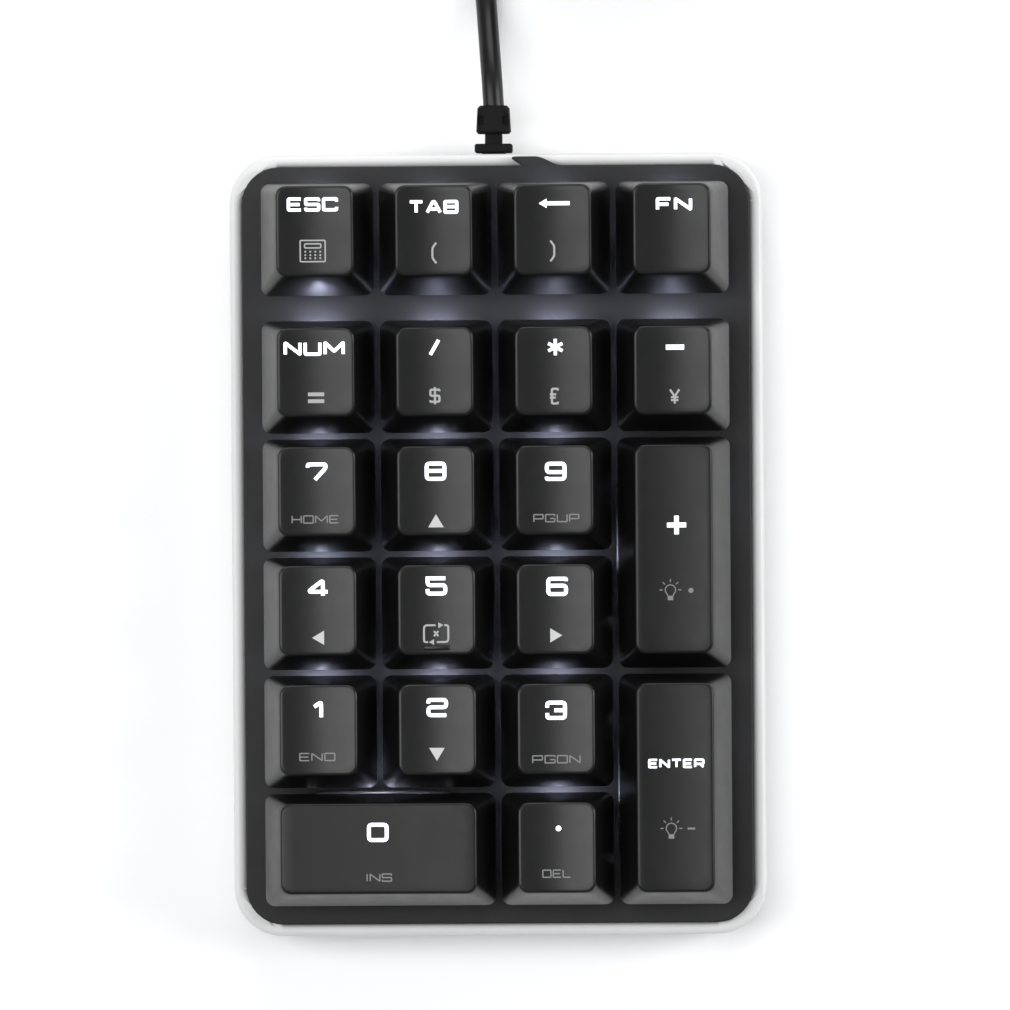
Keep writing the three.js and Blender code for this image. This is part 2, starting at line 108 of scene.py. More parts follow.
def add_area_light(name, place, target, size, power, color=(1, 1, 1)):
    data = bpy.data.lights.new(name, "AREA")
    data.shape = "RECTANGLE"
    data.size, data.size_y = size[0] * MM, size[1] * MM
    data.energy = power
    data.color = color
    light = bpy.data.objects.new(name, data)
    bpy.context.collection.objects.link(light)
    place = Vector(place) * MM
    toward = Vector(target) * MM - place
    light.matrix_world = Matrix.Translation(place) @ toward.to_track_quat("-Z", "Y").to_matrix().to_4x4()


def add_studio():
    for name, (place, target, size, power) in SOFTBOXES.items():
        add_area_light(name, place, target, size, power)
    world = bpy.data.worlds.new("studio")
    bpy.context.scene.world = world
    world.use_nodes = True
    background = world.node_tree.nodes["Background"]
    background.inputs["Color"].default_value = WORLD_COLOR
    background.inputs["Strength"].default_value = WORLD_STRENGTH
    bpy.context.scene.view_settings.view_transform = "Standard"


# ---- materials ----

# moulded plastics: darkest and lightest grey, lowest and highest roughness, and what isn't as usual
PLASTICS = {
    "cap": (0.005, 0.007, 0.27, 0.36, {"relief": 0.012, "specular": 0.38}),
    # the wide caps' copy of the cap plastic, darker and less glossy: painted shade on the wide caps
    "wide_cap": (0.004, 0.006, 0.29, 0.38, {"relief": 0.012, "specular": 0.31}),
    "cap_inside": (0.62, 0.7, 0.5, 0.6, {}),
    "panel": (0.015, 0.02, 0.5, 0.62, {"relief": 0.015, "specular": 0.25}),
    "case": (0.69, 0.73, 0.32, 0.42, {"relief": 0.008}),
    "switch": (0.012, 0.018, 0.35, 0.5, {}),
    "stem": (0.03, 0.04, 0.3, 0.42, {}),
    "rubber": (0.012, 0.02, 0.75, 0.9, {"grain": 1500.0, "relief": 0.04}),
    "lead": (0.004, 0.006, 0.28, 0.38, {"grain": 1800.0, "specular": 0.3}),
    "relief": (0.004, 0.006, 0.5, 0.6, {"specular": 0.12}),
    "tie": (0.02, 0.03, 0.8, 0.95, {"grain": 900.0, "relief": 0.12}),
    "tongue": (0.6, 0.68, 0.4, 0.5, {}),
    "white_print": (0.5, 0.58, 0.5, 0.6, {}),
    "grey_print": (0.36, 0.42, 0.5, 0.6, {}),
    "faint_print": (0.18, 0.22, 0.5, 0.6, {}),
    "lamp_body": (0.5, 0.58, 0.3, 0.4, {}),
}
# metals: darkest and lightest colour, lowest and highest roughness, and how far the grain is drawn out
METALS = {
    "steel": ((0.5, 0.5, 0.5), (0.68, 0.68, 0.7), 0.28, 0.42, (1, 14, 1)),
    "nickel": ((0.62, 0.62, 0.63), (0.8, 0.8, 0.8), 0.16, 0.28, (1, 1, 1)),
    "gold": ((0.75, 0.5, 0.16), (0.9, 0.65, 0.25), 0.2, 0.3, (1, 14, 1)),
}
LAMP_COLOR = (0.7, 0.74, 1.0)
# what gives light: colour and strength
GLOWS = {
    "legend": ((0.88, 0.92, 1.0), 1.3),
    "lamp": (LAMP_COLOR, 22.0),
    "bright_lamp": (LAMP_COLOR, 170.0),
}
GLOW_SPREAD = 0.06
BOARD_TRACKS = {
    "Scale": 180.0,
    "Mortar Size": 0.03,
    "Color1": (0.012, 0.07, 0.03, 1),
    "Color2": (0.015, 0.085, 0.036, 1),
    "Mortar": (0.03, 0.16, 0.06, 1),
}


class Finish:
    """A principled material in the making; its constant values sit on the shader's own sockets."""

    def __init__(self, name, roughness=0.5, metallic=0.0, specular=0.5):
        self.material = bpy.data.materials.new(name)
        self.material.use_nodes = True
        self.tree = self.material.node_tree
        self.shader = self.tree.nodes["Principled BSDF"]
        self.shader.inputs["Roughness"].default_value = roughness
        self.shader.inputs["Metallic"].default_value = metallic
        self.shader.inputs["Specular IOR Level"].default_value = specular

    def link(self, source, target):
        self.tree.links.new(source, target)

    def noise(self, scale, detail=4.0, roughness=0.5, stretch=(1, 1, 1)):
        coordinates = self.tree.nodes.new("ShaderNodeTexCoord")
        mapping = self.tree.nodes.new("ShaderNodeMapping")
        mapping.inputs["Scale"].default_value = stretch
        noise = self.tree.nodes.new("ShaderNodeTexNoise")
        noise.inputs["Scale"].default_value = scale
        noise.inputs["Detail"].default_value = detail
        noise.inputs["Roughness"].default_value = roughness
        self.link(coordinates.outputs["Object"], mapping.inputs["Vector"])
        self.link(mapping.outputs["Vector"], noise.inputs["Vector"])
        return noise.outputs["Fac"]

    def drive(self, sockets, source, *stops):
        """Drives sockets through a ramp between two (position, colour or grey)."""
        node = self.tree.nodes.new("ShaderNodeValToRGB")
        for element, (position, value) in zip(node.color_ramp.elements, stops):
            color = value if isinstance(value, tuple) else (value, value, value)
            element.position = position
            element.color = (*color, 1)
        self.link(source, node.inputs["Fac"])
        for socket in sockets:
            self.link(node.outputs["Color"], self.shader.inputs[socket])

    def bump(self, height, strength, distance):
        node = self.tree.nodes.new("ShaderNodeBump")
        node.inputs["Strength"].default_value = strength
        node.inputs["Distance"].default_value = distance * MM
        self.link(height, node.inputs["Height"])
        self.link(node.outputs["Normal"], self.shader.inputs["Normal"])


def grained_plastic(name, dark, light, rough_low, rough_high, grain=2600.0, relief=0.02, specular=0.5):
    """Moulded plastic: slow colour drift, patchy sheen and a fine spark-eroded grain."""
    finish = Finish(name, specular=specular)
    finish.drive(["Base Color"], finish.noise(45.0, 3.0), (0.3, dark), (0.7, light))
    finish.drive(["Roughness"], finish.noise(260.0, 5.0, 0.65), (0.25, rough_low), (0.75, rough_high))
    finish.bump(finish.noise(grain, 2.0, 0.6), 0.35, relief)
    return finish.material


def brushed_metal(name, dark, light, rough_low, rough_high, stretch):
    """Metal with fine lines along one axis."""
    finish = Finish(name, metallic=1.0)
    lines = finish.noise(500.0, stretch=stretch)
    finish.drive(["Base Color"], lines, (0.2, dark), (0.8, light))
    finish.drive(["Roughness"], lines, (0.2, rough_low), (0.8, rough_high))
    finish.bump(lines, 0.15, 0.01)
    return finish.material


def glowing(name, color, strength):
    """Lit clear plastic, a little brighter in patches."""
    finish = Finish(name, roughness=0.35)
    low = tuple(c * (1 - GLOW_SPREAD) for c in color)
    finish.drive(["Base Color", "Emission Color"], finish.noise(900.0, 2.0), (0.3, low), (0.7, color))
    finish.shader.inputs["Emission Strength"].default_value = strength
    return finish.material


def solder_mask(name):
    """Green lacquer with the faint relief of the copper tracks under it."""
    finish = Finish(name, roughness=0.35)
    tracks = finish.tree.nodes.new("ShaderNodeTexBrick")
    for socket, value in BOARD_TRACKS.items():
        tracks.inputs[socket].default_value = value
    coordinates = finish.tree.nodes.new("ShaderNodeTexCoord")
    finish.link(coordinates.outputs["Object"], tracks.inputs["Vector"])
    finish.link(tracks.outputs["Color"], finish.shader.inputs["Base Color"])
    finish.bump(tracks.outputs["Fac"], 0.2, 0.03)
    return finish.material


def make_materials():
    made = {"board": solder_mask("board")}
    for name, (*values, details) in PLASTICS.items():
        made[name] = grained_plastic(name, *values, **details)
    for name, values in METALS.items():
        made[name] = brushed_metal(name, *values)
    for name, values in GLOWS.items():
        made[name] = glowing(name, *values)
    return made


# ---- meshes ----

SMOOTH_ANGLE = math.radians(35)
MERGE_DISTANCE = 1e-4


def make_object(name, bm, material, place=(0, 0, 0)):
    """A mesh object from a bmesh in millimetres, shaded smooth except at its sharp edges."""
    bmesh.ops.remove_doubles(bm, verts=bm.verts, dist=MERGE_DISTANCE)
    bmesh.ops.recalc_face_normals(bm, faces=bm.faces)
    bmesh.ops.scale(bm, vec=(MM, MM, MM), verts=bm.verts)
    for face in bm.faces:
        face.smooth = True
    for edge in bm.edges:
        if len(edge.link_faces) == 2 and edge.calc_face_angle(0) > SMOOTH_ANGLE:
            edge.smooth = False
    mesh = bpy.data.meshes.new(name)
    bm.to_mesh(mesh)
    bm.free()
    mesh.materials.append(material)
    return place_mesh(name, mesh, place)


def place_mesh(name, mesh, place=(0, 0, 0)):
    piece = bpy.data.objects.new(name, mesh)
    piece.location = Vector(place) * MM
    bpy.context.collection.objects.link(piece)
    return piece


def take_mesh(piece):
    """The mesh of an object, which is removed, for several pieces to share."""
    mesh = piece.data
    bpy.data.objects.remove(piece)
    return mesh


def declare(piece, body, slot, *nodes):
    """Rides a piece on its body and hides the CAD nodes that it stands for; slot, its finish, is not used."""
    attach(piece, body)
    if nodes:
        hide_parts(*nodes)
    return piece


def rounded_outline(width, length, radius, corner_steps, side_steps=1, x=0.0, y=0.0):
    """Points of a rounded rectangle, anticlockwise, the same number for every size."""

    def on_arc(corner, share):
        sx, sy = ((1, 1), (-1, 1), (-1, -1), (1, -1))[corner % 4]
        angle = (corner + share) * math.pi / 2
        return (
            x + sx * (width / 2 - radius) + radius * math.cos(angle),
            y + sy * (length / 2 - radius) + radius * math.sin(angle),
        )

    points = []
    for corner in range(4):
        points += [on_arc(corner, i / corner_steps) for i in range(corner_steps + 1)]
        start, end = Vector(points[-1]), Vector(on_arc(corner + 1, 0))
        points += [tuple(start.lerp(end, i / side_steps)) for i in range(1, side_steps)]
    return points


def circle_outline(radius, sides, x=0.0, y=0.0):
    return [
        (x + radius * math.cos(2 * math.pi * i / sides), y + radius * math.sin(2 * math.pi * i / sides))
        for i in range(sides)
    ]


def inset_outline(points, inset):
    """The outline moved inwards by its corners' bisectors; anticlockwise outlines shrink."""
    moved = []
    count = len(points)
    for i, point in enumerate(points):
        here = Vector(point)
        before = (here - Vector(points[i - 1])).normalized()
        after = (Vector(points[(i + 1) % count]) - here).normalized()
        normal = Vector((-before.y - after.y, before.x + after.x)).normalized()
        cosine = max(0.3, normal.dot(Vector((-after.y, after.x))))
        moved.append(tuple(here + normal * inset / cosine))
    return moved


def add_ring(bm, outline, height):
    """A ring of vertices; height is a number or a function of x and y."""
    level = height if callable(height) else lambda x, y: height
    return [bm.verts.new((x, y, level(x, y))) for x, y in outline]


def arc_point(start, corner, end, share):
    """A point on the arc that cuts a corner."""
    return start * (1 - share) ** 2 + corner * (2 * share * (1 - share)) + end * share * share


def bridge(bm, lower, upper):
    count = len(lower)
    for i in range(count):
        j = (i + 1) % count
        bm.faces.new((lower[i], lower[j], upper[j], upper[i]))


def bridge_all(bm, rings):
    for lower, upper in zip(rings, rings[1:]):
        bridge(bm, lower, upper)


def add_skin(bm, rings):
    """A skin over a row of rings, closed at both ends."""
    bridge_all(bm, rings)
    bm.faces.new(rings[0][::-1])
    bm.faces.new(rings[-1])


def fill(bm, rings):
    """Closes the flat area between a ring and the holes in it."""
    edges = []
    for ring in rings:
        for i, vert in enumerate(ring):
            other = ring[(i + 1) % len(ring)]
            edge = bm.edges.get((vert, other)) or bm.edges.new((vert, other))
            edges.append(edge)
    bmesh.ops.triangle_fill(bm, use_beauty=True, use_dissolve=False, edges=edges)


def add_slab(bm, outline, low, high, holes=(), round_low=0.0, round_high=0.0, steps=3):
    """A flat piece between two heights, with rounded rims on its outline and its holes."""
    ends = []
    for loop in [outline, *holes]:
        levels = []
        for i in range(steps + 1 if round_low else 1):
            angle = math.pi / 2 * i / steps
            levels.append((round_low * (1 - math.sin(angle)), low + round_low * (1 - math.cos(angle))))
        for i in range(steps + 1 if round_high else 1):
            angle = math.pi / 2 * (1 - i / steps)
            levels.append((round_high * (1 - math.sin(angle)), high - round_high * (1 - math.cos(angle))))
        rings = [add_ring(bm, inset_outline(loop, inset), z) for inset, z in levels]
        bridge_all(bm, rings)
        ends.append((rings[0], rings[-1]))
    fill(bm, [first for first, _ in ends])
    fill(bm, [last for _, last in ends])


def add_loft(bm, sections):
    """A closed skin over a stack of (outline, height) sections, all with the same number of points."""
    add_skin(bm, [add_ring(bm, outline, height) for outline, height in sections])


def add_box(bm, low, high, rounding=0.0, segments=2):
    """A box with rounded edges."""
    made = bmesh.ops.create_cube(bm, size=1.0)["verts"]
    for vert in made:
        for axis in range(3):
            vert.co[axis] = low[axis] if vert.co[axis] < 0 else high[axis]
    if rounding:
        edges = list({edge for vert in made for edge in vert.link_edges})
        bmesh.ops.bevel(bm, geom=edges, offset=rounding, segments=segments, profile=0.5, affect="EDGES")


def add_tube(bm, points, radius, sides=12):
    """A closed round rod along a list of points."""
    path = [Vector(p) for p in points]
    rings = []
    side = None
    for i, point in enumerate(path):
        ahead = (path[min(i + 1, len(path) - 1)] - path[max(i - 1, 0)]).normalized()
        if side is None:
            side = ahead.orthogonal().normalized()
        side = (side - ahead * side.dot(ahead)).normalized()
        across = ahead.cross(side)
        ring = []
        for k in range(sides):
            angle = 2 * math.pi * k / sides
            ring.append(bm.verts.new(point + radius * (math.cos(angle) * side + math.sin(angle) * across)))
        rings.append(ring)
    add_skin(bm, rings)


def turn_mesh(bm, turn):
    bmesh.ops.rotate(bm, verts=bm.verts, matrix=turn)


def carve(piece, bm, operation="DIFFERENCE", place=(0, 0, 0)):
    """Cuts a mesh out of a piece, or joins it on."""
    cutter = make_object("cutter", bm, piece.data.materials[0], place)
    modifier = piece.modifiers.new("cut", "BOOLEAN")
    modifier.operation = operation
    modifier.solver = "EXACT"
    modifier.object = cutter
    bpy.context.view_layer.update()
    result = bpy.data.meshes.new_from_object(piece.evaluated_get(bpy.context.evaluated_depsgraph_get()))
    piece.modifiers.clear()
    piece.data = result
    bpy.data.objects.remove(cutter)


def carve_box(piece, low, high, rounding=0.0, operation="DIFFERENCE"):
    bm = bmesh.new()
    add_box(bm, low, high, rounding)
    carve(piece, bm, operation)


def soften(piece):
    """Keeps flat faces flat and rounded edges smooth in the shading."""
    modifier = piece.modifiers.new("normals", "WEIGHTED_NORMAL")
    modifier.keep_sharp = True


# ---- the lead ----

LEAD_DIAMETER = 3.4
LEAD_ROUTE = [
    (-0.2, 70.6, 8.2),
    (-0.3, 71.45, 8.2),
    (-0.5, 75, 7.9),
    (-0.8, 79, 6.6),
    (-1.1, 83, 4.8),
    (-1.4, 87, 3.2),
    (-1.7, 91, 2.25),
    (-1.9, 95, 1.85),
    (-2.0, 100, 1.75),
    (-2.0, 105, 1.75),
    (-2.0, 109, 2.0),
    (-2.0, 113.5, 2.45),
]
COIL_LAYERS = 4
COIL_LANES = 3
COIL_MIDDLE = 5.5 * LEAD_DIAMETER
COIL_BASE = 1
COIL_X = -2 + COIL_MIDDLE + COIL_LANES / 2 * LEAD_DIAMETER
COIL_Y = 118
COIL_POINTS_PER_TURN = 16
CLIMB_TURN = 0.25
LAST_LAYER_TURNS = 2.5
TAIL_TOP = COIL_BASE + (COIL_LAYERS - 0.5) * LEAD_DIAMETER
TAIL_START = COIL_MIDDLE + (COIL_LANES / 2 - 0.5) * LEAD_DIAMETER
# from the coil's middle: right, behind the start of the tail, and below its top
TAIL_ROUTE = [(6, 0.3, 0), (12, 0.8, 0.6), (18, 1.4, 3.2), (24, 1.9, 6.4), (30, 2.2, 8.4), (35, 2.3, 8.8)]


def coil_points():
    """Clockwise turns in layers that wind inwards and outwards in turn, with a short climb between."""
    points = []
    turned = 0.0
    radius = COIL_MIDDLE + COIL_LANES / 2 * LEAD_DIAMETER
    for layer in range(COIL_LAYERS):
        z = COIL_BASE + (layer + 0.5) * LEAD_DIAMETER
        inwards = -1 if layer % 2 == 0 else 1
        turns = LAST_LAYER_TURNS if layer == COIL_LAYERS - 1 else COIL_LANES
        for i in range(round(turns * COIL_POINTS_PER_TURN)):
            share = i / COIL_POINTS_PER_TURN
            points.append((turned + share, radius + inwards * share * LEAD_DIAMETER, z))
        turned += turns
        radius += inwards * turns * LEAD_DIAMETER
        if layer < COIL_LAYERS - 1:
            climb = round(CLIMB_TURN * COIL_POINTS_PER_TURN)
            for i in range(climb):
                share = i / climb
                rise = LEAD_DIAMETER * share * share * (3 - 2 * share)
                points.append((turned + share * CLIMB_TURN, radius, z + rise))
            turned += CLIMB_TURN
    points.append((turned, radius, z))
    placed = []
    for turn, r, z in points:
        angle = math.pi - 2 * math.pi * turn
        placed.append((COIL_X + r * math.cos(angle), COIL_Y + r * math.sin(angle), z))
    return placed


def spline_length(points):
    return sum((Vector(b) - Vector(a)).length for a, b in zip(points, points[1:]))


def smooth_points(points, steps):
    """Points along a Catmull-Rom curve through the given ones."""
    path = [Vector(p) for p in points]
    path = [2 * path[0] - path[1], *path, 2 * path[-1] - path[-2]]
    made = []
    for i in range(1, len(path) - 2):
        a, b, c, d = path[i - 1 : i + 3]
        for k in range(steps):
            t = k / steps
            square, cube = 2 * a - 5 * b + 4 * c - d, 3 * b - a - 3 * c + d
            made.append(0.5 * (2 * b + (c - a) * t + square * t * t + cube * t**3))
    made.append(path[-2])
    return made


def add_lead():
    tail = [(COIL_X + x, COIL_Y + (TAIL_START + y), TAIL_TOP - drop) for x, y, drop in TAIL_ROUTE]
    route = smooth_points(LEAD_ROUTE + coil_points() + tail, 3)
    curve = bpy.data.curves.new("lead", "CURVE")
    curve.dimensions = "3D"
    curve.bevel_depth = LEAD_DIAMETER / 2 * MM
    curve.bevel_resolution = 5
    curve.use_fill_caps = True
    spline = curve.splines.new("POLY")
    spline.points.add(len(route) - 1)
    for point, place in zip(spline.points, route):
        point.co = (*(place * MM), 1)
    curve.materials.append(MATERIALS["lead"])
    lead = bpy.data.objects.new("lead", curve)
    bpy.context.collection.objects.link(lead)
    declare(lead, BASE, "lead", "cord", "cord_coil")
    return lead, spline_length(route) * MM


RELIEF_BLOCK_START = 3.3  # behind the case's wall
# share of the block's length, width and height
RELIEF_BLOCK = [(0, 5.0, 4.4), (0.08, 5.6, 5.0), (0.9, 5.2, 4.8), (1, 4.4, 4.0)]
RELIEF_RECESS = Vector((0.5, 0.7, 0.9))


def add_strain_relief():
    """A barbed foot inside the case, then flange, neck and a tapered block with a recess on each side."""
    high = mm_box("strain_relief")[1]
    x, _, z = middle_of("strain_relief")
    wall = CASE_HIGH.y
    bm = bmesh.new()
    add_box(bm, (x - 3.05, wall + 0.2, z - 2.7), (x + 3.05, wall + 1.7, z + 2.7), 0.35, 3)
    relief = make_object("strain_relief_body", bm, MATERIALS["relief"])
    # half width, half height, start, end and rounding
    stages = [
        (3.0, 3.0, wall - CASE_WALL - 1.7, wall - CASE_WALL - 0.3, 0.3),
        (1.9, 1.9, wall - CASE_WALL - 0.6, wall + 0.5, 0.2),
        (1.4, 1.7, wall + 1.4, wall + 3.6, 0.4),
    ]
    for half_width, half_height, start, end, rounding in stages:
        low_corner = (x - half_width, start, z - half_height)
        carve_box(relief, low_corner, (x + half_width, end, z + half_height), rounding, "UNION")
    start = wall + RELIEF_BLOCK_START
    reach = high.y - start
    bm = bmesh.new()
    outlines = [(rounded_outline(width, height, 1.0, 5), share) for share, width, height in RELIEF_BLOCK]
    add_loft(bm, [(outline, share * reach) for outline, share in outlines])
    turn_mesh(bm, Matrix.Rotation(-math.pi / 2, 3, "X"))
    carve(relief, bm, "UNION", (x, start, z))
    for side in (-1, 1):
        for level in (-1, 1):
            middle = Vector((x + side * 1.95, start + 2.15, z + level * 2.5))
            carve_box(relief, middle - RELIEF_RECESS, middle + RELIEF_RECESS, 0.12)
    soften(relief)
    return declare(relief, BASE, "lead", "strain_relief")


# ---- keycaps ----

KEY_PITCH = 19.05
FOOT_CORNER = 1.5
FACE_WIDTH = 12.3
FACE_CORNER = 1.7
CAP_WALL = 1.4
CAP_ROOF = 1.9
CAP_FILLET = 0.45  # round edge of the face
FOOT_ROUNDING = 0.12
DISH = 0.65  # how deep the middle of a face is
WIDE_DISH = 0.3
HOLLOW_LEVELS = (0.35, 0.7, 0.92)
HOLLOW_CORNER = 0.4
BOSS_RADIUS = 2.75
BOSS_LIFT = 0.4
CROSS_LENGTH = 4.15
CROSS_WIDTH = 1.3
STABILISER_REACH = 11.94
HOMING_KEY = "5"
HOMING_Y = -6.1
HOMING_HALF = Vector((2.1, 0.4))
HOMING_RISE = 0.45
HOMING_ROOT = 0.4

# by row from the rear: rear height, front height, and how far the face stands in at the rear and at the front
PROFILES = [
    (11.2, 9.6, 0.5, 3.1),
    (10.6, 9.4, 1.1, 2.8),
    (9.6, 8.9, 1.1, 2.7),
    (9.0, 8.8, 1.1, 2.6),
    (9.0, 9.3, 1.2, 2.4),
    (9.0, 9.3, 1.2, 2.4),
]


class Cap:
    """Sizes of one keycap, in its own frame: origin at the middle of its foot."""

    def __init__(self, name, row):
        low, high = mm_box(f"keycap_{name}")
        x, y, _ = middle_of(f"keycap_{name}")
        self.name = name
        self.place = Vector((x, y, low.z))
        self.width = high.x - low.x
        self.length = high.y - low.y
        self.units_wide = round(self.width / KEY_PITCH)
        self.units_long = round(self.length / KEY_PITCH)
        self.rear, self.front, self.back, self.nose = PROFILES[row]
        self.face_width = FACE_WIDTH + (self.units_wide - 1) * KEY_PITCH
        self.face_length = self.length - self.back - self.nose
        self.face_y = (self.nose - self.back) / 2
        self.wide = self.units_wide * self.units_long > 1
        self.dish = WIDE_DISH if self.wide else DISH

    def roof(self, x, y):
        along = (y - self.face_y) / self.face_length + 0.5
        return self.front + (self.rear - self.front) * along

    def surface(self, x, y):
        across = min(1.0, abs(x) / (self.face_width / 2))
        return self.roof(x, y) - self.dish * (1 - across * across)

    def posts(self):
        """Where the cap has a post under it."""
        reach = STABILISER_REACH if self.wide else 0
        sides = (-1, 0, 1) if self.wide else (0,)
        return [(side * reach, 0) if self.units_wide > 1 else (0, side * reach) for side in sides]


def cap_rings(foot, face, cap, wall_steps=6, fillet_steps=4, face_steps=8):
    """Points of the cap's outer skin, ring by ring, from its foot over the edge of its face to the middle."""
    centre = Vector((0, cap.face_y))
    inner = [Vector(p) for p in inset_outline(face, CAP_FILLET)]
    rings = [[(x, y, 0.0) for x, y in inset_outline(foot, FOOT_ROUNDING)]]
    wall_end = 1 - CAP_FILLET / cap.front
    for i in range(wall_steps + 1):
        share = wall_end * i / wall_steps
        ring = []
        for (fx, fy), (tx, ty) in zip(foot, face):
            height = FOOT_ROUNDING + (cap.surface(tx, ty) - FOOT_ROUNDING) * share
            ring.append((fx + (tx - fx) * share, fy + (ty - fy) * share, height))
        rings.append(ring)
    for i in range(1, fillet_steps + 1):
        t = i / fillet_steps
        ring = []
        for start, (cx, cy), end in zip(rings[wall_steps + 1], face, inner):
            a = Vector(start)
            b = Vector((cx, cy, cap.surface(cx, cy)))
            c = Vector((end.x, end.y, cap.surface(end.x, end.y)))
            ring.append(tuple(arc_point(a, b, c, t)))
        rings.append(ring)
    for i in range(1, face_steps + 1):
        share = i / (face_steps + 1)
        ring = []
        for point in inner:
            x, y = point.lerp(centre, share)
            ring.append((x, y, cap.surface(x, y)))
        rings.append(ring)
    return rings


def add_hollow(bm, cap, foot, face, rim):
    """The inside of the cap: milky walls and roof, which the switch's lamp lights up, and the posts."""

    def roof(x, y):
        return cap.roof(x, y) - CAP_ROOF

    hollow_foot = inset_outline(foot, CAP_WALL)
    hollow_top = inset_outline(face, CAP_WALL)
    rings = [add_ring(bm, hollow_foot, 0.0)]
    for share in HOLLOW_LEVELS:
        ring = []
        for (fx, fy), (tx, ty) in zip(hollow_foot, hollow_top):
            ring.append(bm.verts.new((fx + (tx - fx) * share, fy + (ty - fy) * share, roof(tx, ty) * share)))
        rings.append(ring)
    rings.append(add_ring(bm, inset_outline(hollow_top, HOLLOW_CORNER), roof))
    bridge(bm, rings[0], rim)
    painted = set(bm.faces)
    for lower, upper in zip(rings, rings[1:]):
        bridge(bm, upper, lower)
    bm.faces.new(rings[-1][::-1])
    for x, y in cap.posts():
        lowest = min(cap.roof(x, y - BOSS_RADIUS), cap.roof(x, y + BOSS_RADIUS))
        add_boss(bm, x, y, lowest - (cap.dish + CAP_ROOF) / 2)
    for face in bm.faces:
        if face not in painted:
            face.material_index = 1


def add_cap(cap):
    foot = rounded_outline(cap.width, cap.length, FOOT_CORNER, 5, 9)
    face = rounded_outline(cap.face_width, cap.face_length, FACE_CORNER, 5, 9, 0, cap.face_y)
    bm = bmesh.new()
    rings = [[bm.verts.new(p) for p in ring] for ring in cap_rings(foot, face, cap)]
    bridge_all(bm, rings)
    bm.faces.new(rings[-1])
    add_hollow(bm, cap, foot, face, rings[0])
    if cap.name == HOMING_KEY:
        y = cap.face_y + HOMING_Y
        z = cap.surface(0, y)
        half_x, half_y = HOMING_HALF
        add_box(bm, (-half_x, y - half_y, z - HOMING_ROOT), (half_x, y + half_y, z + HOMING_RISE), 0.25, 3)
    # wide caps get the darker, less glossy copy of the cap plastic, which paints shade on them
    skin = "wide_cap" if cap.wide else "cap"
    piece = make_object(f"cap_{cap.name}", bm, MATERIALS[skin], cap.place)
    piece.data.materials.append(MATERIALS["cap_inside"])
    declare(piece, f"key_{cap.name}", "cap", f"keycap_{cap.name}")


def add_boss(bm, x, y, top):
    """The round post under a cap, with the cross-shaped socket that grips the switch's stem."""
    a, b = CROSS_LENGTH / 2, CROSS_WIDTH / 2
    arm = [(a, -b), (a, b), (b, b)]
    socket = []
    for _ in range(4):
        socket += [(x + px, y + py) for px, py in arm]
        arm = [(-py, px) for px, py in arm]
    socket.reverse()
    add_slab(bm, circle_outline(BOSS_RADIUS, 24, x, y), BOSS_LIFT, top, [socket], round_low=0.15, steps=1)


# ---- legends ----

LEGEND_LIFT = 0.02
LEGEND_DEPTH = 0.1
LONGEST_STEP = 1.0
CLOSING_DISTANCE = 1e-6
LONGEST_REACH = 0.48  # of a line's length that the arc at its end may take


def round_corners(points, radius, steps=3):
    """The polyline with its inner corners, or all of them if it closes on itself, cut to small arcs."""
    path = [Vector(p) for p in points]
    closed = (path[0] - path[-1]).length < CLOSING_DISTANCE
    if closed:
        path = path[:-1]
    made = []
    count = len(path)
    for i, here in enumerate(path):
        if not closed and i in (0, count - 1):
            made.append(here)
            continue
        before, after = path[i - 1], path[(i + 1) % count]
        reach = min(radius, (before - here).length * LONGEST_REACH, (after - here).length * LONGEST_REACH)
        start = here + (before - here).normalized() * reach
        end = here + (after - here).normalized() * reach
        made += [arc_point(start, here, end, k / steps) for k in range(steps + 1)]
    if closed:
        made.append(made[0].copy())
    return made


def add_stroke(bm, points, width, surface, radius):
    """A closed strip of one line width that follows the cap's face."""
    path = round_corners(points, radius)
    closed = (path[0] - path[-1]).length < CLOSING_DISTANCE
    line = []
    for a, b in zip(path, path[1:]):
        pieces = max(1, math.ceil((b - a).length / LONGEST_STEP))
        line.extend(a.lerp(b, i / pieces) for i in range(pieces))
    if not closed:
        line.append(path[-1])
    count = len(line)
    sections = []
    for i, here in enumerate(line):
        last = i == count - 1 and not closed
        first = i == 0 and not closed
        before = (line[i + 1] - here if first else here - line[i - 1]).normalized()
        after = (here - line[i - 1] if last else line[(i + 1) % count] - here).normalized()
        normal = Vector((-before.y - after.y, before.x + after.x)).normalized()
        reach = width / 2 / max(0.35, normal.dot(Vector((-after.y, after.x))))
        section = []
        for side, depth in ((1, -LEGEND_LIFT), (-1, -LEGEND_LIFT), (-1, LEGEND_DEPTH), (1, LEGEND_DEPTH)):
            x, y = here + normal * (side * reach)
            section.append(bm.verts.new((x, y, surface(x, y) - depth)))
        sections.append(section)
    if closed:
        bridge_all(bm, [*sections, sections[0]])
    else:
        add_skin(bm, sections)


def add_patch(bm, points, surface):
    """A filled shape on the cap's face."""
    levels = (-LEGEND_DEPTH, LEGEND_LIFT)
    add_skin(bm, [[bm.verts.new((x, y, surface(x, y) + z)) for x, y in points] for z in levels])


BOX = "0,0 1,0 1,1 0,1 0,0"
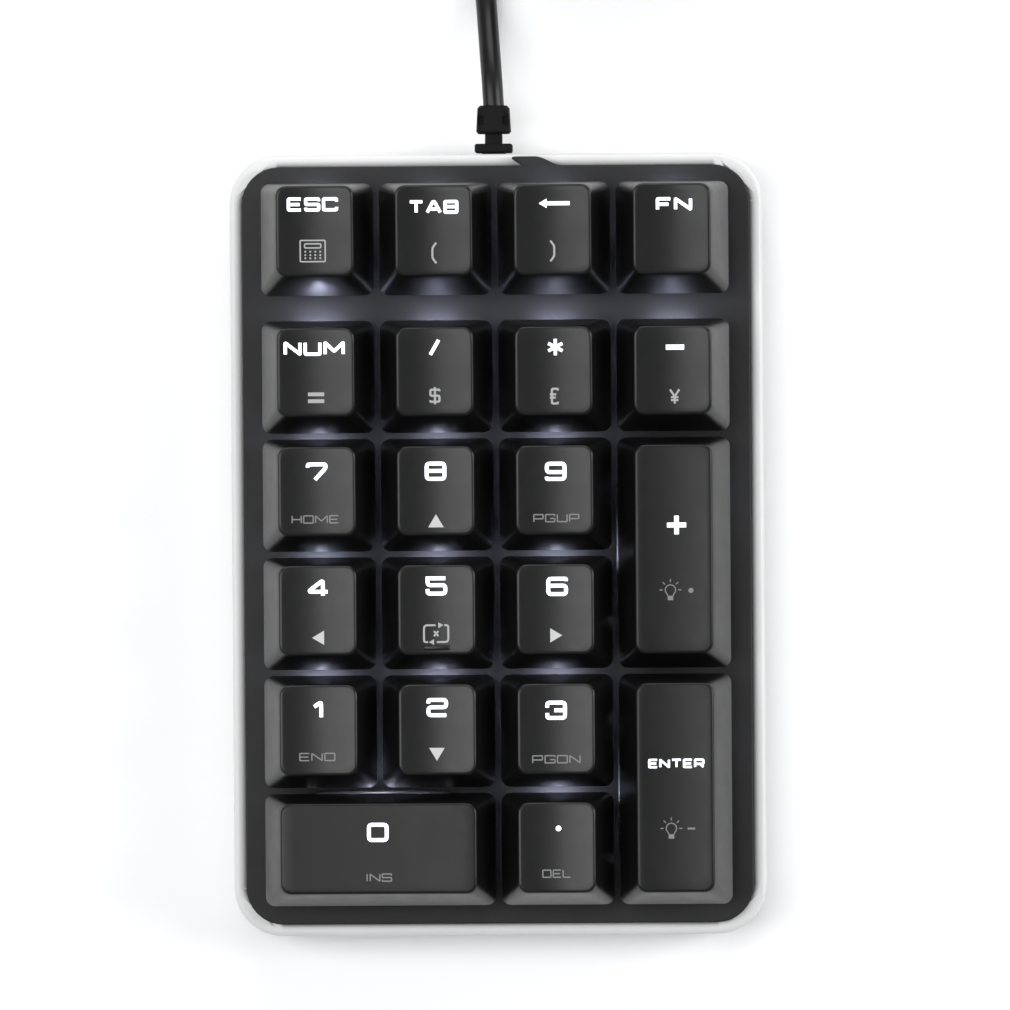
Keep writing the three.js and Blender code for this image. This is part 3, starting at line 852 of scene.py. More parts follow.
# Letters as centre lines in a box one unit wide and one high: width against the usual letter, then strokes.
GLYPHS = {
    "0": (1, BOX),
    "1": (0.7, ".1,.68 .75,1 .75,0"),
    "2": (1, "0,.78 0,1 1,1 1,.52 0,.52 0,0 1,0"),
    "3": (1, "0,.68 0,1 1,1 1,0 0,0 0,.32", ".4,.5 1,.5"),
    "4": (1.1, ".74,0 .74,1 0,.34 0,.25 1,.25"),
    "5": (1, "1,1 -.1,1", "0,1 0,.55 1,.55 1,0 0,0 0,.3"),
    "6": (1, "1,.85 1,1 0,1 0,0 1,0 1,.55 0,.55"),
    "7": (1, "0,.8 0,1 1,1 1,.75 .4,0"),
    "8": (1, BOX, "0,.52 1,.52"),
    "9": (1, "0,.15 0,0 1,0 1,1 0,1 0,.45 1,.45"),
    "A": (1.1, "0,0 .44,1 .56,1 1,0", ".2,.3 .8,.3"),
    "B": (1, BOX, "0,.52 1,.52"),
    "C": (1, "1,.75 1,1 0,1 0,0 1,0 1,.25"),
    "D": (1, BOX),
    "E": (0.95, "1,1 0,1 0,0 1,0", "0,.5 .9,.5"),
    "F": (0.9, "1,1 0,1 0,0", "0,.48 .85,.48"),
    "G": (1, "1,.78 1,1 0,1 0,0 1,0 1,.45 .5,.45"),
    "H": (1, "0,0 0,1", "1,0 1,1", "0,.5 1,.5"),
    "I": (0.12, ".5,0 .5,1"),
    "L": (0.9, "0,1 0,0 1,0"),
    "M": (1.3, "0,0 0,1 .5,.25 1,1 1,0"),
    "N": (1.05, "0,0 0,1 1,0 1,1"),
    "O": (1.05, BOX),
    "P": (1, "0,0 0,1 1,1 1,.42 0,.42"),
    "R": (1, "0,0 0,1 1,1 1,.42 0,.42", ".6,.42 1,0"),
    "S": (1, "1,.8 1,1 0,1 0,.5 1,.5 1,0 0,0 0,.2"),
    "T": (1.05, "0,1 1,1", ".5,1 .5,0"),
    "U": (1.05, "0,1 0,0 1,0 1,1"),
    "(": (0.4, "1,1 .2,.75 .2,.25 1,0"),
    ")": (0.4, "0,1 .8,.75 .8,.25 0,0"),
    "=": (1, "0,.72 1,.72", "0,.28 1,.28"),
    "/": (0.6, "0,0 1,1"),
    "-": (1, "0,.5 1,.5"),
    "+": (1, "0,.5 1,.5", ".5,0 .5,1"),
    "*": (1, ".5,0 .5,1", ".03,.27 .97,.73", ".03,.73 .97,.27"),
    "$": (0.75, "1,.76 1,.85 0,.85 0,.5 1,.5 1,.15 0,.15 0,.24", ".5,0 .5,1"),
    "e": (0.75, "1,.88 1,1 .25,1 .25,0 1,0 1,.12", "0,.62 .8,.62", "0,.4 .75,.4"),
    "y": (0.9, "0,1 .5,.5 1,1", ".5,.5 .5,0", ".1,.45 .9,.45", ".1,.25 .9,.25"),
}
LETTER_GAP = 0.14
DIGIT_ROUNDING = 0.2
LETTER_ROUNDING = 0.1


def add_text(bm, middle, surface, letters, width, height, stroke):
    """Letters side by side, of that whole width and height over the outside of their strokes."""
    rounding = DIGIT_ROUNDING if letters.isdigit() else LETTER_ROUNDING
    weights = [GLYPHS[letter][0] for letter in letters]
    inner_height = height - stroke
    unit = (width - stroke * len(letters)) / (sum(weights) + LETTER_GAP * (len(letters) - 1))
    x = middle[0] - width / 2 + stroke / 2
    y = middle[1] - inner_height / 2
    for letter, weight in zip(letters, weights):
        for line in GLYPHS[letter][1:]:
            places = [map(float, place.split(",")) for place in line.split()]
            points = [(x + px * unit * weight, y + py * inner_height) for px, py in places]
            add_stroke(bm, points, stroke, surface, rounding * inner_height)
        x += unit * (weight + LETTER_GAP) + stroke


ARROW_HALF_HEIGHT = 0.42  # of its width


def add_arrow(bm, middle, surface, size, degrees):
    """A filled triangle that points to the rear, turned anticlockwise."""
    foot, tip = -size * ARROW_HALF_HEIGHT, size * ARROW_HALF_HEIGHT
    turn = Matrix.Rotation(math.radians(degrees), 2)
    corners = [Vector((-size / 2, foot)), Vector((size / 2, foot)), Vector((0, tip))]
    add_patch(bm, [tuple(Vector(middle) + turn @ corner) for corner in corners], surface)


def add_dot(bm, middle, surface, radius, sides=12):
    add_patch(bm, circle_outline(radius, sides, *middle), surface)


def add_lines(bm, middle, surface, lines, stroke, radius=0.2):
    for line in lines:
        add_stroke(bm, [(middle[0] + x, middle[1] + y) for x, y in line], stroke, surface, radius)


def add_calculator(bm, middle, surface):
    frames = [
        [(-2, -1.7), (2, -1.7), (2, 1.7), (-2, 1.7), (-2, -1.7)],
        [(-1.3, 0.5), (1.3, 0.5), (1.3, 1.15), (-1.3, 1.15), (-1.3, 0.5)],
    ]
    add_lines(bm, middle, surface, frames, 0.22)
    for x in (-1.2, -0.4, 0.4, 1.2):
        for y in (-0.1, -0.65, -1.15):
            add_dot(bm, (middle[0] + x, middle[1] + y), surface, 0.17, 6)


def add_repeat_sign(bm, middle, surface):
    """Two arrows that chase each other round a box with a small cross in it."""
    x, y = middle
    lines = [
        [(-0.1, 1.35), (-1.95, 1.35), (-1.95, -1.35), (-1.3, -1.35)],
        [(0.1, -1.35), (1.95, -1.35), (1.95, 1.35), (1.3, 1.35)],
        [(-0.35, -0.4), (0.35, 0.4)],
        [(-0.35, 0.4), (0.35, -0.4)],
    ]
    add_lines(bm, middle, surface, lines, 0.3, 0.55)
    add_arrow(bm, (x + 0.75, y + 1.35), surface, 0.95, -90)
    add_arrow(bm, (x - 0.75, y - 1.35), surface, 0.95, 90)


BULB_RADIUS = 0.85
BULB_Y = 0.35
BULB_STEPS = 8
RAY_START = 1.25
RAY_END = 1.75


def on_bulb(degrees, radius):
    angle = math.radians(degrees)
    return radius * math.cos(angle), BULB_Y + radius * math.sin(angle)


def add_lamp_sign(bm, middle, surface):
    """A light bulb with rays."""
    bulb = [on_bulb(-50 + 280 * i / BULB_STEPS, BULB_RADIUS) for i in range(BULB_STEPS + 1)]
    neck = [[bulb[0], (0.42, -0.6)], [bulb[-1], (-0.42, -0.6)]]
    base = [(-0.45, -1.3), (0.45, -1.3), (0.45, -0.6), (-0.45, -0.6)]
    add_patch(bm, [(middle[0] + x, middle[1] + y) for x, y in base], surface)
    rays = [[on_bulb(degrees, RAY_START), on_bulb(degrees, RAY_END)] for degrees in (0, 45, 90, 135, 180)]
    add_lines(bm, middle, surface, [bulb, *neck, *rays], 0.17, 0.1)


def add_dash(bm, middle, surface, length):
    x, y = middle
    add_stroke(bm, [(x - length / 2, y), (x + length / 2, y)], 0.3, surface, 0)


def add_back_arrow(bm, middle, surface):
    x, y = middle
    add_stroke(bm, [(x - 1.6, y), (x + 2.4, y)], 0.62, surface, 0)
    add_arrow(bm, (x - 1.9, y), surface, 1.5, 90)


MARKS = {
    "text": add_text,
    "arrow": add_arrow,
    "dot": add_dot,
    "dash": add_dash,
    "calculator": add_calculator,
    "repeat": add_repeat_sign,
    "lamp": add_lamp_sign,
    "back": add_back_arrow,
}


# A mark is its kind, its middle's offset to the right and to the rear of the face's middle, and its sizes.
def text(letters, y, width, height, stroke, x=0.0):
    return ("text", x, y, letters, width, height, stroke)


def digit(letter, y, x=0.0):
    return text(letter, y, 2.3 if letter == "1" else 3.45, 3.05, 0.6, x)


def small(letters, y, width, x=0.0):
    return text(letters, y, width, 1.35, 0.2, x)


# key: row whose profile it has, its lit mark, then the finish of its printed marks and these marks
KEYS = {
    "esc": (0, text("ESC", 4.25, 8.2, 2.25, 0.5, -0.3), "grey_print", ("calculator", -0.35, -3.2)),
    "tab": (0, text("TAB", 3.7, 8.0, 2.2, 0.5), "grey_print", text("(", -3.65, 1.1, 3.6, 0.32)),
    "backspace": (0, ("back", 0.35, 4.15), "grey_print", text(")", -3.45, 1.1, 3.6, 0.32)),
    "fn": (0, text("FN", 3.9, 5.8, 2.2, 0.52, 0.4)),
    "num": (1, text("NUM", 3.8, 9.8, 2.35, 0.52, -0.2), "grey_print", text("=", -4.1, 3.2, 3.1, 0.6)),
    "divide": (1, text("/", 3.85, 1.9, 2.9, 0.56), "grey_print", text("$", -3.9, 1.8, 3.1, 0.34)),
    "multiply": (1, text("*", 3.75, 2.9, 3.1, 0.5, 0.3), "grey_print", text("e", -4.1, 1.6, 2.7, 0.34)),
    "minus": (1, text("-", 3.6, 3.7, 0.8, 0.8, 0.4), "grey_print", text("y", -4.3, 1.8, 2.6, 0.32, 0.3)),
    "7": (2, digit("7", 3.1), "faint_print", small("HOME", -4.5, 7.6, -0.3)),
    "8": (2, digit("8", 3.1), "white_print", ("arrow", 0, -4.85, 2.5, 0)),
    "9": (2, digit("9", 2.95, 0.2), "faint_print", small("PGUP", -4.55, 7.4, 0.25)),
    "plus": (
        3,
        text("+", 3.8, 3.8, 3.7, 0.74, 0.45),
        "faint_print",
        ("lamp", -0.6, -6.95),
        ("dot", 2.7, -6.7, 0.42),
    ),
    "4": (3, digit("4", 3.6, 0.15), "white_print", ("arrow", 0, -4.4, 2.3, 90)),
    "5": (3, digit("5", 3.8), "grey_print", ("repeat", -0.1, -3.85)),
    "6": (3, digit("6", 3.6, 0.3), "white_print", ("arrow", 0.1, -4.25, 2.3, -90)),
    "1": (4, digit("1", 3.3), "faint_print", small("END", -4.3, 5.8, -0.25)),
    "2": (4, digit("2", 3.5), "white_print", ("arrow", -0.1, -4.0, 2.5, 180)),
    "3": (4, digit("3", 2.95), "faint_print", small("PGDN", -4.9, 7.8)),
    "enter": (
        5,
        text("ENTER", 3.85, 9.0, 1.5, 0.34, 0.15),
        "faint_print",
        ("lamp", -0.7, -6.9),
        ("dash", 2.5, -6.6, 1.2),
    ),
    "0": (5, digit("0", 2.6, -0.15), "faint_print", small("INS", -4.65, 4.2)),
    "decimal": (5, ("dot", 0.25, 3.05, 0.45), "faint_print", small("DEL", -4.2, 4.6, -0.1)),
}


def add_legend(cap, finish, marks):
    bm = bmesh.new()
    for kind, x, y, *sizes in marks:
        MARKS[kind](bm, (x, y + cap.face_y), cap.surface, *sizes)
    piece = make_object(f"{finish}_{cap.name}", bm, MATERIALS[finish], cap.place)
    declare(piece, f"key_{cap.name}", "legend")


def add_legends(cap):
    _, lit, *printed = KEYS[cap.name]
    add_legend(cap, "legend", [lit])
    if printed:
        add_legend(cap, printed[0], printed[1:])


# ---- case, panel, board ----

CASE_RADIUS = 7.8
CASE_WALL = 2.4
CASE_FLOOR = 2.0
CASE_LOW_ROUNDING = 1.6
CASE_HIGH_ROUNDING = 0.8
SCREW_HEAD_CLEARANCE = 2.7
POST_RADIUS = 2.6
POST_BORE = 1.6
LEAD_SLOT = 4.4
SCREWS = [f"screw_{i + 1}" for i in range(4)]


def carve_at_screws(piece, radius, sides, low, high, operation="DIFFERENCE"):
    """A round hole or post in line with each screw."""
    bm = bmesh.new()
    for node in SCREWS:
        x, y, _ = middle_of(node)
        add_slab(bm, circle_outline(radius, sides, x, y), low, high)
    carve(piece, bm, operation)


def add_case():
    outline = rounded_outline(CASE_HIGH.x - CASE_LOW.x, CASE_HIGH.y - CASE_LOW.y, CASE_RADIUS, 12, 1)
    floor = CASE_LOW.z + CASE_FLOOR
    rim = CASE_HIGH.z
    bm = bmesh.new()
    add_slab(bm, outline, CASE_LOW.z, rim, (), CASE_LOW_ROUNDING, CASE_HIGH_ROUNDING, 5)
    case = make_object("case_tray", bm, MATERIALS["case"])
    bm = bmesh.new()
    add_slab(bm, inset_outline(outline, CASE_WALL), floor, rim + 2, round_low=1.0, steps=3)
    carve(case, bm)
    carve_at_screws(case, POST_RADIUS, 24, floor - 0.5, rim - 0.05, "UNION")
    carve_at_screws(case, POST_BORE, 24, CASE_LOW.z + 0.5, rim + 1)
    carve_at_screws(case, SCREW_HEAD_CLEARANCE, 32, CASE_LOW.z - 1, floor - 0.2)
    x, _, z = middle_of("strain_relief")
    half = LEAD_SLOT / 2
    near = CASE_HIGH.y - CASE_WALL - 1
    carve_box(case, (x - half, near, z - half), (x + half, CASE_HIGH.y + 1, z + half), 0.4)
    soften(case)
    declare(case, BASE, "white_case", "bottom_case")


PANEL_RADIUS = 6
PANEL_CORNER_STEPS = 8
SWITCH_HOLE = 14
FIN_END_X = 10.9
FIN_TOP_X = 6.4
FIN_TIP_X = 2.7
FIN_ROOT_X = 4.3
FIN_STEPS = 14


def panel_outline():
    """A rounded rectangle with a fin on its rear edge, to the right of the lead."""
    rear = -PANEL_LOW.y
    depth = PANEL_HIGH.y - rear
    corners = rounded_outline(PANEL_HIGH.x - PANEL_LOW.x, 2 * rear, PANEL_RADIUS, PANEL_CORNER_STEPS)
    fin = []
    for i in range(FIN_STEPS + 1):
        share = i / FIN_STEPS
        y = rear + depth * share * share * (3 - 2 * share)
        fin.append((FIN_END_X + (FIN_TOP_X - FIN_END_X) * share, y))
    fin += [(FIN_TIP_X + 0.4, rear + depth), (FIN_TIP_X + 0.08, rear + depth - 0.12)]
    fin += [(FIN_TIP_X, rear + depth - 0.4), (FIN_ROOT_X, rear)]
    first_corner = PANEL_CORNER_STEPS + 1
    return corners[:first_corner] + fin + corners[first_corner:]


def switch_place(name):
    return middle_of(f"switch_{name}")[:2]


def add_panel(keys):
    holes = []
    for name in keys:
        x, y = switch_place(name)
        holes.append(rounded_outline(SWITCH_HOLE, SWITCH_HOLE, 0.5, 2, 1, x, y)[::-1])
    bm = bmesh.new()
    add_slab(bm, panel_outline(), PANEL_LOW.z, PANEL_HIGH.z, holes, round_low=0.15, round_high=0.3, steps=3)
    panel = make_object("panel", bm, MATERIALS["panel"])
    soften(panel)
    declare(panel, BASE, "black_panel", "top_panel")


def finish_board():
    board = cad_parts["circuit_board"]
    board.data.materials.clear()
    board.data.materials.append(MATERIALS["board"])


# ---- switches, stems, lamps and stabilisers; heights are above the panel ----

FLANGE = 15.4
SWITCH_BODY = 13.6
SWITCH_RISE = 6.6
SWITCH_DEPTH = 5.0
# the upper cover: width, length, corner radius and height
COVER = [
    (14.8, 14.8, 1.0, 0.95),
    (14.6, 14.6, 1.0, 1.5),
    (12.6, 13.0, 1.0, 4.4),
    (10.9, 11.7, 1.0, SWITCH_RISE - 0.35),
    (10.3, 11.1, 0.8, SWITCH_RISE),
]
CORNER_CUT = (6.6, 6.9)
LAMP_Y = 5.3
LAMP_RADIUS = 1.0
COLLAR_RADIUS = LAMP_RADIUS + 0.15
LAMP_GLOW_Z = 3.2
LAMP_SIDES = 16
DOME_STEPS = 5
SLIDER_TOP = 6.45
SLIDER_HEIGHT = 4.9
STEM_RISE = 3.5
BRIGHT_KEYS = ("num",)


def housing_mesh():
    """One key switch's housing: upper cover with its well and lamp notch, flange, body and clips."""
    bm = bmesh.new()
    add_loft(bm, [(rounded_outline(width, length, radius, 4), z) for width, length, radius, z in COVER])
    piece = make_object("housing", bm, MATERIALS["switch"])
    bm = bmesh.new()
    add_slab(bm, rounded_outline(FLANGE, FLANGE, 1.0, 4), 0.15, 1.15, round_low=0.1, round_high=0.2, steps=2)
    carve(piece, bm, "UNION")
    bm = bmesh.new()
    body = rounded_outline(SWITCH_BODY, SWITCH_BODY, 0.7, 3)
    add_slab(bm, body, -SWITCH_DEPTH + 0.3, 0.4, round_low=0.6, steps=2)
    carve(piece, bm, "UNION")
    clips = bmesh.new()
    for side in (-1, 1):
        x = side * (SWITCH_BODY / 2 + 0.1)
        add_box(clips, (x - 0.35, -2.0, -2.6), (x + 0.35, 2.0, -1.0), 0.15)
    carve(piece, clips, "UNION")
    carve_box(piece, (-3.8, -3.3, -3.0), (3.8, 3.3, SWITCH_RISE + 1))
    carve_box(piece, (-2.6, 4.1, 0.8), (2.6, 9, SWITCH_RISE + 1), 0.3)
    corners = bmesh.new()
    for sx in (-1, 1):
        for sy in (-1, 1):
            x, y = sx * CORNER_CUT[0], sy * CORNER_CUT[1]
            add_box(corners, (x - 1.1, y - 0.9, 1.25), (x + 1.1, y + 0.9, 4.2), 0.2)
    carve(piece, corners)
    return take_mesh(piece)


def stem_mesh():
    """The slider that moves in the well, with its cross up into the cap's boss."""
    bm = bmesh.new()
    add_box(bm, (-3.55, -2.9, SLIDER_TOP - SLIDER_HEIGHT), (3.55, 2.9, SLIDER_TOP), 0.25)
    add_box(bm, (-2.0, -0.6, SLIDER_TOP - 0.5), (2.0, 0.6, SLIDER_TOP + STEM_RISE), 0.12)
    add_box(bm, (-0.58, -2.0, SLIDER_TOP - 0.5), (0.58, 2.0, SLIDER_TOP + STEM_RISE), 0.12)
    return take_mesh(make_object("stem", bm, MATERIALS["stem"]))


def lamp_mesh(glow):
    """A round-ended diode: collar and lower body, with the light coming from its upper half."""
    bm = bmesh.new()
    levels = [(COLLAR_RADIUS, 0.85), (COLLAR_RADIUS, 1.25), (LAMP_RADIUS, 1.3), (LAMP_RADIUS, LAMP_GLOW_Z)]
    for i in range(DOME_STEPS):
        angle = math.pi / 2 * i / DOME_STEPS
        levels.append((LAMP_RADIUS * math.cos(angle), LAMP_GLOW_Z + 0.4 + LAMP_RADIUS * math.sin(angle)))
    add_loft(bm, [(circle_outline(radius, LAMP_SIDES), z) for radius, z in levels])
    for face in bm.faces:
        if face.calc_center_median().z < LAMP_GLOW_Z:
            face.material_index = 1
    mesh = take_mesh(make_object("lamp", bm, MATERIALS[glow]))
    mesh.materials.append(MATERIALS["lamp_body"])
    return mesh


def add_switches(caps):
    housing, stem = housing_mesh(), stem_mesh()
    lamp, bright_lamp = lamp_mesh("lamp"), lamp_mesh("bright_lamp")
    for cap in caps:
        x, y = switch_place(cap.name)
        piece = place_mesh(f"housing_{cap.name}", housing, (x, y, PLATE_Z))
        declare(piece, BASE, "switch_shell", f"switch_{cap.name}")
        piece = place_mesh(f"stem_{cap.name}", stem, (x, y, PLATE_Z))
        declare(piece, f"key_{cap.name}", "switch_shell")
        diode = bright_lamp if cap.name in BRIGHT_KEYS else lamp
        piece = place_mesh(f"lamp_{cap.name}", diode, (x, y + LAMP_Y, PLATE_Z))
        declare(piece, BASE, "legend")


SPILL_SIZE = (5.0, 1.0)
SPILL_POWER = 0.0018
SPILL_PLACE = (6.9, 3.0)  # behind the switch's middle, and above the panel
SPILL_TARGET_Y = 9.4
FILL_SIZE = (1.6, 1.6)
FILL_POWER = 0.004
FILL_RISE = 1.6
FILL_TARGET = (2, 14)
DIM_ROW = 0
DIM_SHARE = 0.2
BRIGHT_SHARE = 0.9


def add_lamp_light(caps):
    """Each lamp's light: up into the clear cap, and down through its notch on the panel behind the key."""
    for cap in caps:
        x, y = switch_place(cap.name)
        place = (x, y + LAMP_Y, PLATE_Z + LAMP_GLOW_Z + FILL_RISE)
        target = (x, y + FILL_TARGET[0], PLATE_Z + FILL_TARGET[1])
        add_area_light(f"lamp_fill_{cap.name}", place, target, FILL_SIZE, FILL_POWER, LAMP_COLOR)
        if cap.units_long > 1:
            continue
        power = SPILL_POWER
        if KEYS[cap.name][0] == DIM_ROW:
            power *= DIM_SHARE
        if cap.name in BRIGHT_KEYS:
            power *= BRIGHT_SHARE
        place, target = (x, y + SPILL_PLACE[0], PLATE_Z + SPILL_PLACE[1]), (x, y + SPILL_TARGET_Y, PLATE_Z)
        add_area_light(f"lamp_spill_{cap.name}", place, target, SPILL_SIZE, power, LAMP_COLOR)


WIRE_RADIUS = 0.75
WIRE_BEND = 1.6
WIRE_OFFSET = 8.6
WIRE_PIVOT = 1.0
WIRE_ARM = 6.8
WIRE_REST_ANGLE = 0.62
WIRE_LANE_HALF = 1.05
GUIDE_HALF = 3.9
GUIDE_REAR = 4.6
GUIDE_TOP = 5.2


def add_stabiliser(cap):
    """A bent wire and the two guides for the cap's side posts."""
    turn = Matrix.Rotation(-math.pi / 2 if cap.units_wide > 1 else 0, 3, "Z")
    reach = STABILISER_REACH - WIRE_RADIUS
    tip_x = -WIRE_OFFSET + WIRE_ARM * math.cos(WIRE_REST_ANGLE)
    tip_z = WIRE_PIVOT + WIRE_ARM * math.sin(WIRE_REST_ANGLE)
    route = [(tip_x, -reach, tip_z), (-WIRE_OFFSET, -reach, WIRE_PIVOT), (-WIRE_OFFSET, reach, WIRE_PIVOT)]
    route.append((tip_x, reach, tip_z))
    bm = bmesh.new()
    add_tube(bm, round_corners(route, WIRE_BEND, 6), WIRE_RADIUS)
    turn_mesh(bm, turn)
    place = (cap.place.x, cap.place.y, PLATE_Z)
    wire = make_object(f"wire_{cap.name}", bm, MATERIALS["steel"], place)
    declare(wire, f"wire_{cap.name}", "steel", f"stabiliser_wire_{cap.name}")
    for number, side in enumerate((-1, 1)):
        bm = bmesh.new()
        middle = side * STABILISER_REACH
        near, far = middle - GUIDE_HALF, middle + GUIDE_HALF
        lane = side * reach
        add_box(bm, (-0.9, near, 0.1), (GUIDE_REAR, far, 1.1), 0.2)
        for start, end in ((near, lane - WIRE_LANE_HALF), (lane + WIRE_LANE_HALF, far)):
            add_box(bm, (-5.0, start, 0.1), (-0.7, end, 1.1), 0.2)
        add_box(bm, (3.2, near, 0.6), (GUIDE_REAR, far, GUIDE_TOP), 0.3)
        for edge in (-1, 1):
            y = middle + edge * (GUIDE_HALF - 0.5)
            add_box(bm, (-3.6, y - 0.5, 0.6), (GUIDE_REAR, y + 0.5, GUIDE_TOP), 0.25)
        turn_mesh(bm, turn)
        guide = make_object(f"guide_{cap.name}_{number + 1}", bm, MATERIALS["switch"], place)
        declare(guide, BASE, "switch_shell")


# ---- screws, feet, tie and plug ----

SCREW_HEAD = [(1.7, 0.0), (2.1, 0.12), (2.3, 0.45), (2.3, 1.0), (2.15, 1.2), (1.2, 1.22)]  # radius, height
THREAD_PITCH = 0.5
THREAD_START = 1.5
THREAD_RADII = (0.98, 1.2)
RECESS_DEPTH = 0.75
RECESS_ARMS = ((1.3, 0.3), (0.3, 1.3))


def add_screws():
    low, high = mm_box(SCREWS[0])
    total = high.z - low.z
    root, crest = THREAD_RADII
    profile = list(SCREW_HEAD)
    z = THREAD_START
    while z < total - 1.2:
        profile += [(root, z), (crest, z + THREAD_PITCH / 2)]
        z += THREAD_PITCH
    profile += [(0.9, total - 0.8), (0.3, total)]
    bm = bmesh.new()
    add_loft(bm, [(circle_outline(radius, 24), level) for radius, level in profile])
    screw = make_object("screw", bm, MATERIALS["steel"])
    for half_x, half_y in RECESS_ARMS:
        carve_box(screw, (-half_x, -half_y, -1), (half_x, half_y, RECESS_DEPTH))
    mesh = take_mesh(screw)
    for node in SCREWS:
        x, y, _ = middle_of(node)
        piece = place_mesh(f"{node}_body", mesh, (x, y, low.z))
        declare(piece, BASE, "steel", node)


GROOVE_OFFSETS = (-1.4, 0, 1.4)
GROOVE_HALF = 0.25
GROOVE_DEPTH = 0.35
GROOVE_MARGIN = 5


def add_feet():
    for node in ("foot_front", "foot_rear"):
        low, high = mm_box(node)
        width, length = high.x - low.x, high.y - low.y
        x, y, _ = middle_of(node)
        bm = bmesh.new()
        outline = rounded_outline(width, length, length / 2 - 0.2, 10, 1, x, y)
        add_slab(bm, outline, low.z, high.z, round_low=0.5, round_high=0.1, steps=3)
        foot = make_object(f"{node}_pad", bm, MATERIALS["rubber"])
        grooves = bmesh.new()
        left, right = x - width / 2 + GROOVE_MARGIN, x + width / 2 - GROOVE_MARGIN
        for offset in GROOVE_OFFSETS:
            groove = (left, y + offset - GROOVE_HALF, low.z - 1)
            add_box(grooves, groove, (right, y + offset + GROOVE_HALF, low.z + GROOVE_DEPTH), 0.1)
        carve(foot, grooves)
        soften(foot)
        declare(foot, BASE, "rubber", node)


TIE_ANGLE = -0.35
TIE_WIDTH = 7.0
TIE_THICK = 0.7
TIE_GAP = 0.3
TIE_CORNER = 1.6


def add_tie():
    """A strap round the coil's section, with its free end lying on top."""
    reach = (COIL_LANES + 1) / 2 * LEAD_DIAMETER
    left = COIL_MIDDLE - reach - TIE_THICK - TIE_GAP
    right = COIL_MIDDLE + reach + TIE_GAP
    high = COIL_BASE + COIL_LAYERS * LEAD_DIAMETER + TIE_GAP
    wide = right - left
    tall = high - TIE_THICK
    middle = ((left + right) / 2, TIE_THICK + tall / 2)
    inner = rounded_outline(wide, tall, TIE_CORNER, 6, 1, *middle)
    outer = rounded_outline(wide + 2 * TIE_THICK, tall + 2 * TIE_THICK, TIE_CORNER + TIE_THICK, 6, 1, *middle)
    bm = bmesh.new()
    half = TIE_WIDTH / 2
    add_slab(bm, outer, -half, half, [inner[::-1]], round_low=0.15, round_high=0.15, steps=2)
    flap_low = (middle[0] - 4, high + TIE_THICK - 0.1, -half + 0.3)
    add_box(bm, flap_low, (right - 1.2, high + 2 * TIE_THICK - 0.1, half - 0.3), 0.25)
    turn_mesh(bm, Matrix.Rotation(math.pi / 2, 3, "X"))
    turn_mesh(bm, Matrix.Rotation(TIE_ANGLE, 3, "Z"))
    tie = make_object("tie_strap", bm, MATERIALS["tie"], (COIL_X, COIL_Y, 0))
    return declare(tie, BASE, "rubber", "cord_tie")


PLUG_TURN = Matrix(((0, 0, 1), (1, 0, 0), (0, 1, 0)))
PLUG_WIDTH = 15.4
PLUG_HEIGHT = 7.8
# the grip from the lead on: width, height, corner radius and how far along
GRIP_START = [
    (5.0, 5.0, 2.3, 0.0),
    (5.6, 5.4, 2.4, 0.4),
    (6.6, 5.8, 2.5, 2.6),
    (9.4, 6.8, 2.6, 4.2),
    (13.4, 7.6, 2.6, 5.6),
    (PLUG_WIDTH, PLUG_HEIGHT, 2.4, 7.6),
]
# towards the shell: smaller by, corner radius and how far before the end
GRIP_END = [(0, 2.2, 1.0), (0.6, 2.0, 0.25), (1.4, 1.6, 0)]
GRIP_GROOVES = [9.5 + 2.0 * i for i in range(5)]
SHELL_WIDTH = 12.0
SHELL_HEIGHT = 4.5
SHELL_THICK = 0.32


def plug_node(node):
    """The middle of a plug node's left end, and its length."""
    low, high = mm_box(node)
    _, y, z = middle_of(node)
    return (low.x, y, z), high.x - low.x


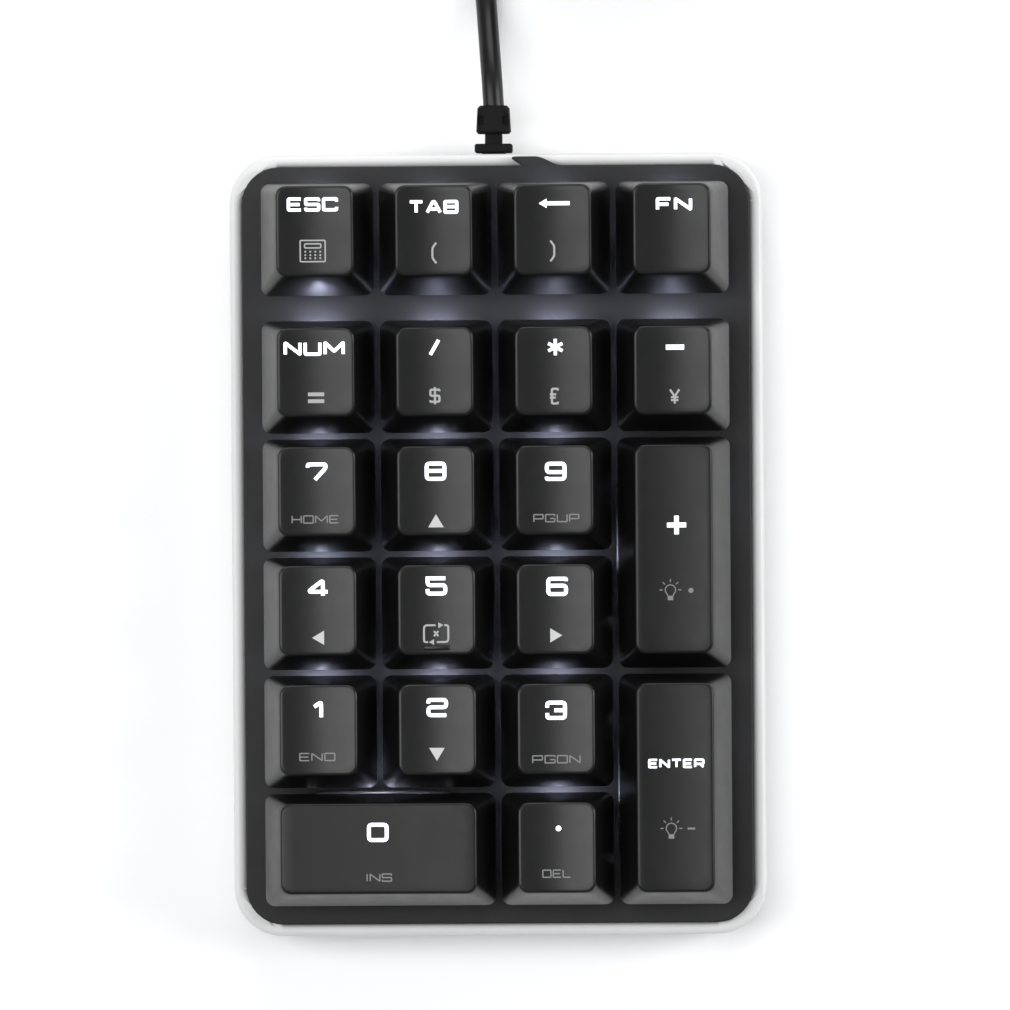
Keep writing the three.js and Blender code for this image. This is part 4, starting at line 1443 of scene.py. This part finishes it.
def add_plug():
    """The moulded grip and the metal shell with its tongue; the plug points to the right."""
    place, length = plug_node("plug_body")
    sections = list(GRIP_START)
    for less, radius, before in GRIP_END:
        sections.append((PLUG_WIDTH - less, PLUG_HEIGHT - less, radius, length - before))
    bm = bmesh.new()
    add_loft(bm, [(rounded_outline(width, height, radius, 5), x) for width, height, radius, x in sections])
    turn_mesh(bm, PLUG_TURN)
    grip = make_object("plug_grip", bm, MATERIALS["relief"], place)
    grooves = bmesh.new()
    for x in GRIP_GROOVES:
        for side in (-1, 1):
            z = side * (PLUG_HEIGHT / 2 + 0.4)
            add_box(grooves, (x - 0.45, -5.2, z - 0.75), (x + 0.45, 5.2, z + 0.75), 0.2)
    carve(grip, grooves, place=place)
    soften(grip)
    declare(grip, BASE, "lead", "plug_body")

    place, length = plug_node("plug_shell")
    bm = bmesh.new()
    outer = rounded_outline(SHELL_WIDTH, SHELL_HEIGHT, 0.7, 4)
    inner = rounded_outline(SHELL_WIDTH - 2 * SHELL_THICK, SHELL_HEIGHT - 2 * SHELL_THICK, 0.4, 4)
    add_slab(bm, outer, 0, length, [inner[::-1]], round_high=0.12, steps=2)
    turn_mesh(bm, PLUG_TURN)
    shell = make_object("plug_sleeve", bm, MATERIALS["nickel"], place)
    windows = bmesh.new()
    for side in (-1, 1):
        for y in (-2.4, 2.4):
            z = side * SHELL_HEIGHT / 2
            add_box(windows, (5.2, y - 1.2, z - 0.6), (7.6, y + 1.2, z + 0.6))
    carve(shell, windows, place=place)
    soften(shell)
    declare(shell, BASE, "plated_steel", "plug_shell")
    bm = bmesh.new()
    add_box(bm, (0.1, -5.6, -1.88), (length - 0.6, 5.6, -0.15), 0.1)
    add_box(bm, (0.1, -5.6, -1.8), (2.6, 5.6, 1.85), 0.1)
    tongue = make_object("plug_tongue", bm, MATERIALS["tongue"], place)
    declare(tongue, BASE, "plated_steel")
    bm = bmesh.new()
    for y in (-3.5, -1.0, 1.0, 3.5):
        add_box(bm, (3.0, y - 0.5, -0.25), (length - 1.6, y + 0.5, -0.02), 0.05)
    contacts = make_object("plug_contacts", bm, MATERIALS["gold"], place)
    declare(contacts, BASE, "plated_steel")
    return [grip, shell, tongue, contacts]


def add_floor():
    dark, light = FLOOR_GREYS
    finish = Finish("floor", roughness=0.7)
    finish.drive(["Base Color"], finish.noise(6.0), (0.3, dark), (0.7, light))
    bm = bmesh.new()
    bmesh.ops.create_grid(bm, x_segments=4, y_segments=4, size=FLOOR_HALF_SIZE)
    make_object("floor", bm, finish.material)


add_camera()
add_studio()
add_floor()
MATERIALS = make_materials()
CAPS = [Cap(name, row) for name, (row, *_) in KEYS.items()]
add_case()
add_panel(KEYS)
finish_board()
add_switches(CAPS)
add_lamp_light(CAPS)
for cap in CAPS:
    add_cap(cap)
    add_legends(cap)
    if cap.wide:
        add_stabiliser(cap)
add_screws()
add_feet()
LEAD, LEAD_LENGTH = add_lead()
RELIEF = add_strain_relief()
TIE = add_tie()
PLUG = add_plug()
